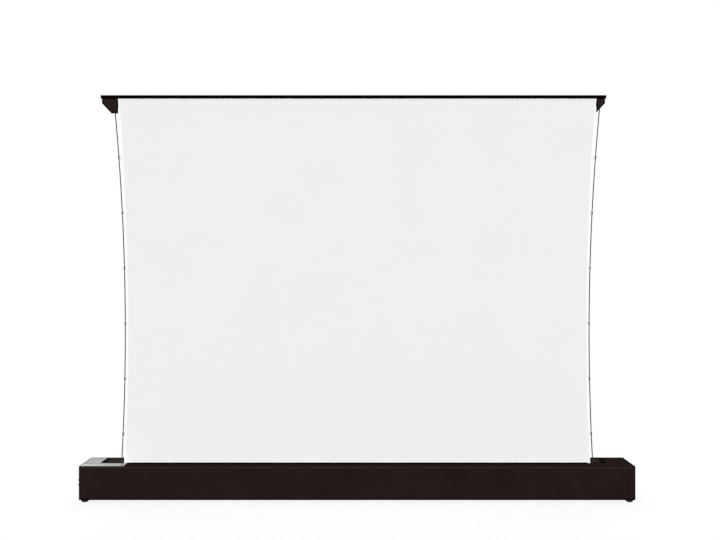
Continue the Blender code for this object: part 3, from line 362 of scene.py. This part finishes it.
# Each arm of the cross recess is bumped in, and painted shade darkens it.
for along, over in ((aside, above), (above, aside)):
    in_length = near(zinc_screw, along, 0, slit_half_length)
    shaded_slit = both(zinc_screw, in_length, near(zinc_screw, over, 0, slit_half_width))
    mix_over(zinc_screw, shaded_slit, (0.03, 0.03, 0.03))
    raise_grain(zinc_screw, sums(zinc_screw, "MULTIPLY", shaded_slit, -1), slit_depth)
dress(cap_screws, zinc_screw)


# Four moulded rubber feet are pressed into the caps' undersides. They are matt black, with
# a trace of dust in their grain.
foot_rubber = surface_finish("matt black rubber", (0.008, 0.008, 0.008), 0.82, specular=0.2)
tint(foot_rubber, grain(foot_rubber, 160, detail=4), (0.006, 0.006, 0.006), (0.016, 0.015, 0.014))
vary_gloss(foot_rubber, grain(foot_rubber, 300), 0.74, 0.92)
raise_grain(foot_rubber, grain(foot_rubber, 1800, detail=1), 0.00003)
feet = [f"{side}_{end}_foot" for side in ("left", "right") for end in ("front", "rear")]
dress(feet, foot_rubber)


# The switch module behind the left cap, its raise and lower buttons, and the appliance inlet
# in the right cap are black mouldings with a fine grain and a little more gloss than the case.
black_moulding = surface_finish(
    "black grained moulding", (0.008, 0.008, 0.009), 0.42, specular=0.25,
)
moulding_flow = grain(black_moulding, 40, detail=4)
tint(black_moulding, moulding_flow, (0.006, 0.006, 0.007), (0.012, 0.012, 0.013))
vary_gloss(black_moulding, grain(black_moulding, 200), 0.34, 0.50)
raise_grain(black_moulding, grain(black_moulding, 1300, cells=True), 0.00003)
dress(["switch_module", "power_inlet"], black_moulding, 0.0003)


def piece_of(name, points, faces, finishes, body, looks=None, spread=None):
    """A mesh piece with its finishes, the finish and the flat layout of each face, on its body."""
    mesh = bpy.data.meshes.new(name)
    mesh.from_pydata(points, [], faces)
    for finish in finishes:
        mesh.materials.append(finish)
    if looks:
        mesh.polygons.foreach_set("material_index", looks)
    if spread:
        layer = mesh.uv_layers.new(name="flat layout")
        flat = [corner for face in spread for corner in face]
        for place, corner in zip(layer.data, flat):
            place.uv = corner
    shell = bmesh.new()
    shell.from_mesh(mesh)
    bmesh.ops.recalc_face_normals(shell, faces=shell.faces)
    shell.to_mesh(mesh)
    shell.free()
    mesh.polygons.foreach_set("use_smooth", [True] * len(mesh.polygons))
    mesh.set_sharp_from_angle(angle=math.radians(42))
    piece = bpy.data.objects.new(name, mesh)
    bpy.context.scene.collection.objects.link(piece)
    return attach(piece, body)


def skin(rings, joined=False):
    """Faces over rings of points, and the flat layout of each. A joined loop has no end faces."""
    count = len(rings[0])
    points = [tuple(point) for ring in rings for point in ring]
    run = [0.0]
    for ring, after in zip(rings, rings[1:]):
        run.append(run[-1] + (Vector(after[0]) - Vector(ring[0])).length)
    faces, spread = [], []
    last = len(rings) if joined else len(rings) - 1
    for row in range(last):
        below, above = row * count, (row + 1) % len(rings) * count
        high = run[(row + 1) % len(rings)]
        for corner in range(count):
            after = (corner + 1) % count
            faces.append((below + corner, below + after, above + after, above + corner))
            left, right = corner / count, (corner + 1) / count
            spread.append([(left, run[row]), (right, run[row]), (right, high), (left, high)])
    if not joined:
        for start in (0, len(points) - count):
            faces.append(tuple(range(start, start + count)))
            spread.append([(0, 0)] * count)
    return points, faces, spread


def ring_at(middle, along, radius, count):
    """A ring of points across a direction."""
    along = Vector(along).normalized()
    across = along.orthogonal().normalized()
    if abs(along.y) < 0.9:
        across = along.cross(Vector((0, 1, 0))).normalized()
    beside = along.cross(across)
    turns = [2 * math.pi * corner / count for corner in range(count)]
    return [Vector(middle) + radius * (math.cos(a) * across + math.sin(a) * beside) for a in turns]


def button_cap(name):
    """A round push button with a dished top, its keeping collar and its stem, in one turning."""
    low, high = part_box(name)
    middle = (low + high) / 2
    profile = [
        (0.0009, 0.0003), (0.0006, 0.0016), (0.0001, 0.0029), (0.0, 0.0034), (0.0002, 0.0038),
        (0.0008, 0.0040), (0.0060, 0.0040), (0.0060, 0.0054), (0.0075, 0.0054), (0.0075, 0.0025),
        (0.0115, 0.0025),
    ]
    rings = []
    for run, radius in profile:
        rings.append(ring_at((low.x + run, middle.y, middle.z), (1, 0, 0), radius, 40))
    points, faces, spread = skin(rings)
    cap = piece_of(f"{name}_cap", points, faces, [black_moulding], name, spread=spread)
    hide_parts(name)


for button in ("raise_button", "lower_button"):
    button_cap(button)


# A tubular motor in a black steel sleeve lies in the left end of the roller and drives it
# through a moulded crown. A steel pin carries the roller's other end.
def rub_edges(finish, width, colour):
    """Show a paler colour along the sharp edges, broken up as handling breaks it."""
    patches = sums(finish, "MULTIPLY_ADD", grain(finish, 90, detail=4), 1.6, -0.3)
    mix_over(finish, sums(finish, "MULTIPLY", edge_lines(finish, width), patches), colour)


black_steel = surface_finish("black enamelled steel", (0.011, 0.011, 0.012), 0.38, specular=0.4)
tint(black_steel, grain(black_steel, 30, detail=4), (0.009, 0.009, 0.010), (0.016, 0.016, 0.017))
vary_gloss(black_steel, grain(black_steel, 120, detail=3), 0.30, 0.48)
raise_grain(black_steel, grain(black_steel, 500, detail=2), 0.00004)
rub_edges(black_steel, 0.0009, (0.16, 0.16, 0.16))
dress(["tubular_motor"], black_steel)
dress(["drive_crown"], black_moulding)

turned_steel = surface_finish("turned steel", (0.55, 0.55, 0.56), 0.26, metallic=1.0)
lathe_marks = grain(turned_steel, 1100, (1, 0.05, 1), detail=3)
tint(turned_steel, lathe_marks, (0.46, 0.46, 0.47), (0.62, 0.62, 0.63))
vary_gloss(turned_steel, grain(turned_steel, 500, (1, 0.05, 1), detail=2), 0.18, 0.36)
raise_grain(turned_steel, grain(turned_steel, 1400, (1, 0.05, 1), detail=1), 0.00001)
dress(["idler_pin", "roller_tube"], turned_steel)


# A black rubber wiper lies along the front of the slot and keeps dust off the roller. It is
# extruded with five fine ribs and a thin lip, and pushed into the front profile's channel.
wiper_rubber = surface_finish(
    "black wiper rubber", (0.0015, 0.0015, 0.0015), 0.75, specular=0.0003,
)
dusting = grain(wiper_rubber, 220, (0.1, 1, 1), detail=3)
tint(wiper_rubber, dusting, (0.0008, 0.0008, 0.0008), (0.0030, 0.0030, 0.0030))
vary_gloss(wiper_rubber, grain(wiper_rubber, 300, (0.1, 1, 1)), 0.66, 0.85)
raise_grain(wiper_rubber, grain(wiper_rubber, 1200, (0.3, 1, 1), detail=1), 0.00002)


def slot_wiper():
    """The ribbed strip, inside the space of its plain solid."""
    plate_height, lip_thickness, nick, front_nick = 0.0050, 0.0015, 0.0012, 0.0010
    tip, bevel_across, bevel_down = 0.0010, 0.0003, 0.0006
    low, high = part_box("slot_seal")
    top, lip = low.z + plate_height, high.y - lip_thickness
    outline = [
        (low.y, low.z), (high.y, low.z), (high.y, high.z - bevel_down),
        (high.y - bevel_across, high.z), (high.y - tip + bevel_across, high.z),
        (high.y - tip, high.z - bevel_down), (lip, top - nick),
    ]
    ribs = 5
    pitch = (lip - low.y) / ribs
    for rib in range(ribs):
        right = lip - rib * pitch
        for share, drop in ((0.18, 0.0002), (0.5, 0.0), (0.82, 0.0002)):
            outline.append((right - share * pitch, top - drop))
        if rib < ribs - 1:
            outline.append((right - pitch, top - nick))
    outline.append((low.y, top - front_nick))
    steps = 24
    rings = []
    for step in range(steps + 1):
        along = low.x + (high.x - low.x) * step / steps
        rings.append([(along, depth, rise) for depth, rise in outline])
    points, faces, spread = skin(rings)
    wiper = piece_of("slot_wiper", points, faces, [wiper_rubber], "case", spread=spread)
    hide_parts("slot_seal")


slot_wiper()


# Two sprung folding arms behind the cloth lift the bar. Each is a pair of black anodised
# tubes with cast knuckles at their ends, on turned pins in folded steel brackets.
black_anodised = surface_finish(
    "black anodised aluminium", (0.012, 0.012, 0.013), 0.40, specular=0.35,
)
anodised_shade = grain(black_anodised, 20, detail=5)
tint(black_anodised, anodised_shade, (0.009, 0.009, 0.010), (0.018, 0.018, 0.019))
vary_gloss(black_anodised, grain(black_anodised, 150, detail=3), 0.32, 0.50)
raise_grain(black_anodised, grain(black_anodised, 700, detail=2), 0.00003)
rub_edges(black_anodised, 0.0010, (0.10, 0.10, 0.105))
for side in ("left", "right"):
    tubes = [f"{side}_lower_arm", f"{side}_upper_arm"]
    knuckles = [f"{side}_{end}_knuckle" for end in ("base", "lower_knee", "upper_knee", "top")]
    dress(tubes + knuckles, black_anodised, 0.0005)
    dress([f"{side}_base_bracket", f"{side}_top_bracket"], black_steel, 0.0004)
    dress([f"{side}_{end}_pin" for end in ("base", "knee", "top")], turned_steel)


# A long coil spring of bright wire lies inside each lower tube and pulls the arm straight.
# It is wound from 1.6 mm spring wire, a few millimetres from turn to turn.
def arm_spring(side, sign):
    """The coil between its two ends, wound round the lower tube's axis."""
    foot, knee = Vector((sign * 0.150, 0.045, 0.045)), Vector((sign * 0.527547, 0.045, 0.869634))
    along = (knee - foot).normalized()
    across = along.cross(Vector((0, 1, 0))).normalized()
    beside = along.cross(across)
    start, end, pitch, steps = 0.0745, 0.8325, 0.0042, 9
    coil_radius, wire_radius, corners = 0.0050, 0.0008, 5
    rings = []
    for step in range(round((end - start) / pitch * steps) + 1):
        turn = 2 * math.pi * step / steps
        outward = math.cos(turn) * across + math.sin(turn) * beside
        sideways = along.cross(outward).cross(outward)
        middle = foot + along * (start + pitch * step / steps) + outward * coil_radius
        ring = []
        for corner in range(corners):
            angle = 2 * math.pi * corner / corners
            round_wire = math.cos(angle) * outward + math.sin(angle) * sideways
            ring.append(middle + wire_radius * round_wire)
        rings.append(ring)
    points, faces, spread = skin(rings)
    name, body = f"{side}_coil_spring", f"{side}_lower_arm"
    spring = piece_of(name, points, faces, [turned_steel], body, spread=spread)
    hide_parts(f"{side}_arm_spring")


for side, sign in (("left", -1), ("right", 1)):
    arm_spring(side, sign)


# The top bar is one extrusion, coated near black, that also closes the slot. A flat brown
# bracket with painted shade, near black, along its edges hangs under each of its ends and holds
# a cord, and a steel batten sewn into the cloth's top hem lies in its front groove.
bar_coat = brown_finish("near black powder coat", (0.0027, 0.0007, 0.0006), 420, 0.00004)
rub_edges(bar_coat, 0.0008, (0.006, 0.003, 0.003))
dress(["top_bar"], bar_coat)

bore_along, bore_rise = (1.048, 0.0090), (1.6925, 0.0200)
bracket_coat = brown_finish("brown coat with painted edge shade", (0.0225, 0.0140, 0.0125), 420, 0.00004)
bracket_along, _, bracket_rise = place_on(bracket_coat)
bracket_off_middle = sums(bracket_coat, "ABSOLUTE", bracket_along, 0)
beside_cord = both(
    bracket_coat, near(bracket_coat, bracket_off_middle, *bore_along),
    near(bracket_coat, bracket_rise, *bore_rise),
)
# Painted shade, near black, along the bracket's edges, kept clear of the cord's bore.
away_from_cord = sums(bracket_coat, "SUBTRACT", 1, beside_cord)
painted_bracket_edge_shade = both(bracket_coat, away_from_cord, edge_lines(bracket_coat, 0.0110, 0.95))
mix_over(bracket_coat, painted_bracket_edge_shade, (0.0010, 0.0004, 0.0003))
dress(["left_end_bracket", "right_end_bracket"], bracket_coat, 0.0004)
dress(["cloth_batten"], black_steel)


# The projection cloth is matt PVC on a fine glass weave, light grey to view and black behind.
# A narrow white margin is left all round the grey. Painted light makes the grey lighter towards
# the foot, most of all just above the case. Its two edges are cut as shallow curves so that the
# cords can pull it flat.
screen_grey = surface_finish(
    "light grey viewing surface", (0.858, 0.858, 0.858), 0.88, specular=0.1,
)
fabric_weave = grain(screen_grey, 900, (1, 1, 1), detail=1)
tint(screen_grey, grain(screen_grey, 3, detail=4), (0.854, 0.854, 0.854), (0.862, 0.862, 0.862))
# Painted light: the grey is mixed towards white lower down, most of all just above the case.
screen_rise = place_on(screen_grey)[2]
case_top, painted_light_fade = 0.155, 25
painted_light_near_foot = sums(screen_grey, "MULTIPLY_ADD", screen_rise, -painted_light_fade, painted_light_fade * case_top)
painted_light_near_foot = sums(screen_grey, "EXPONENT", painted_light_near_foot, 0)
lighter = sums(screen_grey, "MULTIPLY_ADD", painted_light_near_foot, 0.948, 0.278)
lighter = sums(screen_grey, "MULTIPLY_ADD", screen_rise, -0.161, lighter)
mix_over(screen_grey, lighter, (0.949, 0.949, 0.949))
vary_gloss(screen_grey, fabric_weave, 0.84, 0.92)
raise_grain(screen_grey, fabric_weave, 0.00002)

white_margin = surface_finish("white margin", (0.98, 0.98, 0.98), 0.86, specular=0.1)
tint(white_margin, grain(white_margin, 4, detail=4), (0.970, 0.970, 0.970), (0.990, 0.990, 0.990))
vary_gloss(white_margin, grain(white_margin, 700), 0.80, 0.90)
raise_grain(white_margin, grain(white_margin, 900, detail=1), 0.00002)

black_backing = surface_finish("black backing", (0.018, 0.018, 0.019), 0.66, specular=0.25)
backing_shade = grain(black_backing, 6, detail=5)
tint(black_backing, backing_shade, (0.015, 0.015, 0.016), (0.023, 0.023, 0.024))
vary_gloss(black_backing, grain(black_backing, 25, detail=4), 0.58, 0.74)
raise_grain(black_backing, grain(black_backing, 1000, cells=True), 0.00004)

cloth_middle, cloth_half_thickness = -0.0185, 0.0003
cloth_foot, cloth_head = 0.050, 1.730364
waist_rise, waist_half, cloth_flare = 0.720, 0.9941, 0.0391


def flare(rise):
    """How far a height lies from the waist, squared, with the top edge at 1."""
    return ((rise - waist_rise) / (cloth_head - waist_rise)) ** 2


def cloth_edge(rise):
    """Half the cloth's width at a height."""
    return waist_half + cloth_flare * flare(rise)


def flat_goods(rows, front, back):
    """A closed sheet over rows of (across, rise) points, with its faces sorted by side."""
    wide, tall = len(rows[0]), len(rows)
    points = [(x, front, z) for row in rows for x, z in row]
    points += [(x, back, z) for row in rows for x, z in row]
    behind = wide * tall
    faces, places = [], []
    for row in range(tall - 1):
        for column in range(wide - 1):
            corner = row * wide + column
            quad = (corner, corner + 1, corner + wide + 1, corner + wide)
            faces.append(quad)
            places.append(("front", column, row))
            faces.append(tuple(behind + point for point in reversed(quad)))
            places.append(("back", column, row))
    rim = [column for column in range(wide)]
    rim += [row * wide + wide - 1 for row in range(1, tall)]
    rim += [(tall - 1) * wide + column for column in range(wide - 2, -1, -1)]
    rim += [row * wide for row in range(tall - 2, 0, -1)]
    for point, after in zip(rim, rim[1:] + rim[:1]):
        faces.append((point, behind + point, behind + after, after))
        places.append(("edge", 0, 0))
    spread = [[(points[p][0], points[p][2]) for p in face] for face in faces]
    return points, faces, spread, places


def squash_down(piece):
    """Give a stretched piece its own copy of its mesh."""
    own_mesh(piece)


def projection_cloth():
    """The stretched cloth from the roller to the top bar."""
    grey_foot, grey_head, side_margin = 0.162, 1.7245, 0.0055
    low_rows, grey_rows, columns = 8, 110, 48
    rises = [cloth_foot + (grey_foot - cloth_foot) * step / low_rows for step in range(low_rows)]
    for step in range(grey_rows + 1):
        rises.append(grey_foot + (grey_head - grey_foot) * step / grey_rows)
    rises.append(cloth_head)
    rows = []
    for rise in rises:
        edge = cloth_edge(rise)
        grey = edge - side_margin
        row = [(-edge, rise)]
        row += [(-grey + 2 * grey * column / columns, rise) for column in range(columns + 1)]
        row.append((edge, rise))
        rows.append(row)
    front, back = cloth_middle - cloth_half_thickness, cloth_middle + cloth_half_thickness
    points, faces, spread, places = flat_goods(rows, front, back)
    looks = []
    for side, column, row in places:
        inside = 0 < column <= columns and low_rows <= row < len(rises) - 2
        looks.append(2 if side == "back" else 0 if side == "front" and inside else 1)
    finishes = [screen_grey, white_margin, black_backing]
    cloth = piece_of("projection_cloth", points, faces, finishes, "case", looks, spread)
    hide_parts("screen_cloth")
    return cloth


def roller_winding():
    """The three turns that stay on the roller, spiralling out to where the cloth leaves it."""
    middle_y, middle_z, half = -0.0453, 0.050, 1.0113
    turns, steps, sheet = 3, 48, 0.00012
    inner, outer = 0.02545, 0.02620 - sheet
    outward, inward = [], []
    for step in range(turns * steps + 1):
        turn = 2 * math.pi * step / steps
        radius = inner + (outer - inner) * step / (turns * steps)
        for line, reach in ((outward, radius + sheet), (inward, radius - sheet)):
            line.append((middle_y + reach * math.cos(turn), middle_z - reach * math.sin(turn)))
    outline = outward + inward[::-1]
    count = len(outward)
    points = [(-half, y, z) for y, z in outline] + [(half, y, z) for y, z in outline]
    faces, looks = [], []
    whole = len(outline)
    for corner in range(whole):
        after = (corner + 1) % whole
        faces.append((corner, after, whole + after, whole + corner))
        looks.append(0 if corner < count - 1 else 1)
    for start in (0, whole):
        for corner in range(count - 1):
            facing = whole - 1 - corner
            faces.append((start + corner, start + corner + 1, start + facing - 1, start + facing))
            looks.append(1)
    finishes = [white_margin, black_backing]
    winding = piece_of("roller_winding", points, faces, finishes, "roller", looks)
    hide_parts("cloth_wrap")
    return winding


cloth = projection_cloth()
winding = roller_winding()
squash_down(cloth)


# A white woven tape is sewn behind each edge of the cloth with two rows of stitches. Six tabs
# of the same tape reach out from it, and each ends in a dark sleeve with white hems that
# slides on the cord.
def waves(finish, value, per_metre):
    """Even waves between 0 and 1 along a value."""
    turned = sums(finish, "SINE", sums(finish, "MULTIPLY", value, 2 * math.pi * per_metre), 0)
    return sums(finish, "MULTIPLY_ADD", turned, 0.5, 0.5)


woven_tape = surface_finish("white woven tape", (0.93, 0.93, 0.92), 0.86, specular=0.15)
shader_of(woven_tape).inputs["Sheen Weight"].default_value = 0.15
tape_across, tape_along, _ = place_on(woven_tape, "UV")
herringbone = waves(woven_tape, sums(woven_tape, "ADD", tape_across, tape_along), 900)
weft = waves(woven_tape, tape_along, 1400)
tape_relief = sums(woven_tape, "MULTIPLY", herringbone, weft)
tint(woven_tape, tape_relief, (0.88, 0.88, 0.87), (0.97, 0.97, 0.96), 0.0, 1.0)
vary_gloss(woven_tape, grain(woven_tape, 600), 0.80, 0.92)
raise_grain(woven_tape, tape_relief, 0.00012)

dark_sleeve = surface_finish("dark grey braided sleeve", (0.045, 0.044, 0.042), 0.80, specular=0.2)
sleeve_around, sleeve_along, _ = place_on(dark_sleeve, "UV")
sleeve_left = sums(dark_sleeve, "MULTIPLY_ADD", sleeve_around, 0.012, sleeve_along)
sleeve_right = sums(dark_sleeve, "MULTIPLY_ADD", sleeve_around, -0.012, sleeve_along)
braid = sums(
    dark_sleeve, "MULTIPLY",
    waves(dark_sleeve, sleeve_left, 1000), waves(dark_sleeve, sleeve_right, 1000),
)
tint(dark_sleeve, braid, (0.028, 0.027, 0.026), (0.075, 0.073, 0.071), 0.0, 1.0)
raise_grain(dark_sleeve, braid, 0.0002)
vary_gloss(dark_sleeve, grain(dark_sleeve, 500), 0.72, 0.88)

sewing_thread = surface_finish("white sewing thread", (0.80, 0.80, 0.79), 0.60, specular=0.3)
tint(sewing_thread, grain(sewing_thread, 900, detail=2), (0.70, 0.70, 0.69), (0.88, 0.88, 0.87))
vary_gloss(sewing_thread, grain(sewing_thread, 1200), 0.5, 0.7)
raise_grain(sewing_thread, grain(sewing_thread, 2500, (1, 1, 0.3), detail=1), 0.00004)

cord_waist, cord_flare, cord_radius = 1.0016, 0.0496, 0.0022
tape_gap, tape_half_thickness = 0.0003, 0.0004
tape_middle = cloth_middle + cloth_half_thickness + tape_gap + tape_half_thickness


def cord_line(rise):
    """How far out the cord lies at a height."""
    return cord_waist + cord_flare * flare(rise)


def cord_lean(sign, rise):
    """Which way the cord runs at a height."""
    reach = 0.005
    return (sign * (cord_line(rise + reach) - cord_line(rise - reach)), 0, 2 * reach)


def gather(parts):
    """Several lots of points and faces as one, each with the finish of its faces."""
    points, faces, spread, looks = [], [], [], []
    for more_points, more_faces, more_spread, look in parts:
        start = len(points)
        points += more_points
        faces += [tuple(start + point for point in face) for face in more_faces]
        spread += more_spread
        looks += [look] * len(more_faces)
    return points, faces, spread, looks


def sleeve_part(sign, middle, bottom, top, bore, radius):
    """One hollow length of sleeve round the cord, leaning with it."""
    corners = 20
    profile = [(bottom, bore), (bottom, radius), (top, radius), (top, bore)]
    rings = []
    for rise, reach in profile:
        here = (sign * cord_line(rise), tape_middle, rise)
        rings.append(ring_at(here, cord_lean(sign, middle), reach, corners))
    return skin(rings, joined=True)


def stitch_row(sign, offset, depth, bottom, top):
    """Raised stitches along the tape, a fixed distance in from the cloth's edge."""
    parts = []
    pitch, length, radius, corners = 0.006, 0.0042, 0.00022, 5
    for number in range(int((top - bottom) / pitch)):
        low = bottom + number * pitch
        rings = []
        for share, swell in ((0, 0.3), (0.2, 1.0), (0.8, 1.0), (1, 0.3)):
            rise = low + length * share
            here = (sign * (cloth_edge(rise) - offset), depth, rise)
            rings.append(ring_at(here, (0, 0, 1), radius * swell, corners))
        parts.append((*skin(rings), 2))
    return parts


def edge_tape(side, sign):
    """The tape, its tabs and sleeves, and its stitches, as one sewn piece."""
    head, width, steps, columns = 1.728164, 0.020, 100, 4
    front, back = tape_middle - tape_half_thickness, tape_middle + tape_half_thickness
    rows = []
    for step in range(steps + 1):
        rise = cloth_foot + (head - cloth_foot) * step / steps
        inner = cloth_edge(rise) - width
        row = [(sign * (inner + width * column / columns), rise) for column in range(columns + 1)]
        rows.append(row)
    strip = flat_goods(rows, front, back)
    parts = [(*strip[:3], 0)]
    tabs, first_tab, pitch, tab_half, tab_steps = 6, 0.279, 0.238693, 0.011, 4
    lap, cord_gap, recess = 0.004, 0.0026, 0.00008
    bore, sleeve_radius, hem_radius, hem_in, hem_out = 0.0024, 0.0030, 0.00345, 0.0015, 0.001
    for tab in range(tabs):
        middle = first_tab + pitch * tab
        low, high = middle - tab_half, middle + tab_half
        web = []
        for step in range(tab_steps + 1):
            rise = low + (high - low) * step / tab_steps
            ends = (cloth_edge(rise) - lap, cord_line(rise) - cord_gap)
            web.append([(sign * end, rise) for end in ends])
        parts.append((*flat_goods(web, front + recess, back - recess)[:3], 0))
        sleeve = sleeve_part(sign, middle, low + hem_in, high - hem_in, bore, sleeve_radius)
        parts.append((*sleeve, 1))
        for bottom, top in ((low - hem_out, low + hem_in), (high - hem_in, high + hem_out)):
            parts.append((*sleeve_part(sign, middle, bottom, top, bore, hem_radius), 0))
    seams, thread_proud, seam_short = (0.003, 0.017), 0.0001, 0.006
    for seam in seams:
        low, high = cloth_foot + seam_short, head - seam_short
        parts += stitch_row(sign, seam, back + thread_proud, low, high)
    points, faces, spread, looks = gather(parts)
    finishes = [woven_tape, dark_sleeve, sewing_thread]
    tape = piece_of(f"{side}_sewn_tape", points, faces, finishes, "case", looks, spread)
    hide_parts(f"{side}_edge_tape")
    squash_down(tape)


for side, sign in (("left", -1), ("right", 1)):
    edge_tape(side, sign)


# A braided polyester cord, 4.4 mm thick, runs tight down each side through the sleeves, from
# the end bracket to the roller's end, and bows inwards with the cloth. Its end in the
# bracket stays there when the rest is wound down.
braided_cord = surface_finish("dark braided cord", (0.030, 0.029, 0.028), 0.74, specular=0.25)
cord_around, cord_along, _ = place_on(braided_cord, "UV")
left_turning = sums(braided_cord, "MULTIPLY_ADD", cord_around, 0.009, cord_along)
right_turning = sums(braided_cord, "MULTIPLY_ADD", cord_around, -0.009, cord_along)
strands = sums(
    braided_cord, "MULTIPLY",
    waves(braided_cord, left_turning, 1300), waves(braided_cord, right_turning, 1300),
)
tint(braided_cord, strands, (0.018, 0.017, 0.016), (0.055, 0.053, 0.051), 0.0, 1.0)
raise_grain(braided_cord, strands, 0.0002)
vary_gloss(braided_cord, grain(braided_cord, 700), 0.66, 0.82)


def tension_cord(side, sign):
    """The cord on its bowed line, with its end in the bracket as a length of its own."""
    mouth, head, parting, corners = 1.6638, 1.699464, 0.00005, 14
    lengths = (
        ("braided_cord", "case", cloth_foot, mouth - parting, 150),
        ("cord_end", "top_bar", mouth, head, 6),
    )
    for name, body, low, high, steps in lengths:
        rings = []
        for step in range(steps + 1):
            rise = low + (high - low) * step / steps
            here = (sign * cord_line(rise), tape_middle, rise)
            rings.append(ring_at(here, cord_lean(sign, rise), cord_radius, corners))
        points, faces, spread = skin(rings)
        cord = piece_of(f"{side}_{name}", points, faces, [braided_cord], body, spread=spread)
        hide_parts(f"{side}_tension_cord")
        if body == "case":
            squash_down(cord)


for side, sign in (("left", -1), ("right", 1)):
    tension_cord(side, sign)


# The studio: a plain white floor that keeps the object's shadow, an even white room, a broad
# soft light in front and a weaker one behind.
def seen_directly(finish):
    """1 for what the camera sees straight, in gloss or through glass, and 0 for light on things."""
    seen = finish.node_tree.nodes.new("ShaderNodeLightPath").outputs
    mirrored = sums(finish, "MAXIMUM", seen["Is Glossy Ray"], seen["Is Transmission Ray"])
    return sums(finish, "MAXIMUM", seen["Is Camera Ray"], mirrored)


floor_finish = surface_finish("white studio floor", (0.18, 0.18, 0.18), 0.9, specular=0.0)
tint(floor_finish, grain(floor_finish, 2, detail=3), (0.177, 0.177, 0.177), (0.183, 0.183, 0.183))
glow = sums(floor_finish, "MULTIPLY", seen_directly(floor_finish), 0.83)
floor_finish.node_tree.links.new(glow, shader_of(floor_finish).inputs["Emission Strength"])
shader_of(floor_finish).inputs["Emission Color"].default_value = (1, 1, 1, 1)
floor_mesh = bpy.data.meshes.new("studio_floor")
floor_shape = bmesh.new()
bmesh.ops.create_circle(floor_shape, cap_ends=True, segments=96, radius=14)
floor_shape.to_mesh(floor_mesh)
floor_shape.free()
floor_mesh.materials.append(floor_finish)
floor = bpy.data.objects.new("studio_floor", floor_mesh)
bpy.context.scene.collection.objects.link(floor)

room = bpy.data.worlds.new("white room")
bpy.context.scene.world = room
room.use_nodes = True
backdrop = room.node_tree.nodes["Background"]
backdrop.inputs["Color"].default_value = (1, 1, 1, 1)
strength = sums(room, "MULTIPLY_ADD", seen_directly(room), 0.50, 0.50)
room.node_tree.links.new(strength, backdrop.inputs["Strength"])

for name, energy, tilt in (("soft front light", 2.23, 66), ("soft rear light", 0.8, -42)):
    light = bpy.data.objects.new(name, bpy.data.lights.new(name, "SUN"))
    light.data.energy = energy
    light.data.angle = math.radians(40)
    light.rotation_euler = (math.radians(tilt), 0, 0)
    bpy.context.scene.collection.objects.link(light)

bpy.context.scene.view_settings.view_transform = "Standard"
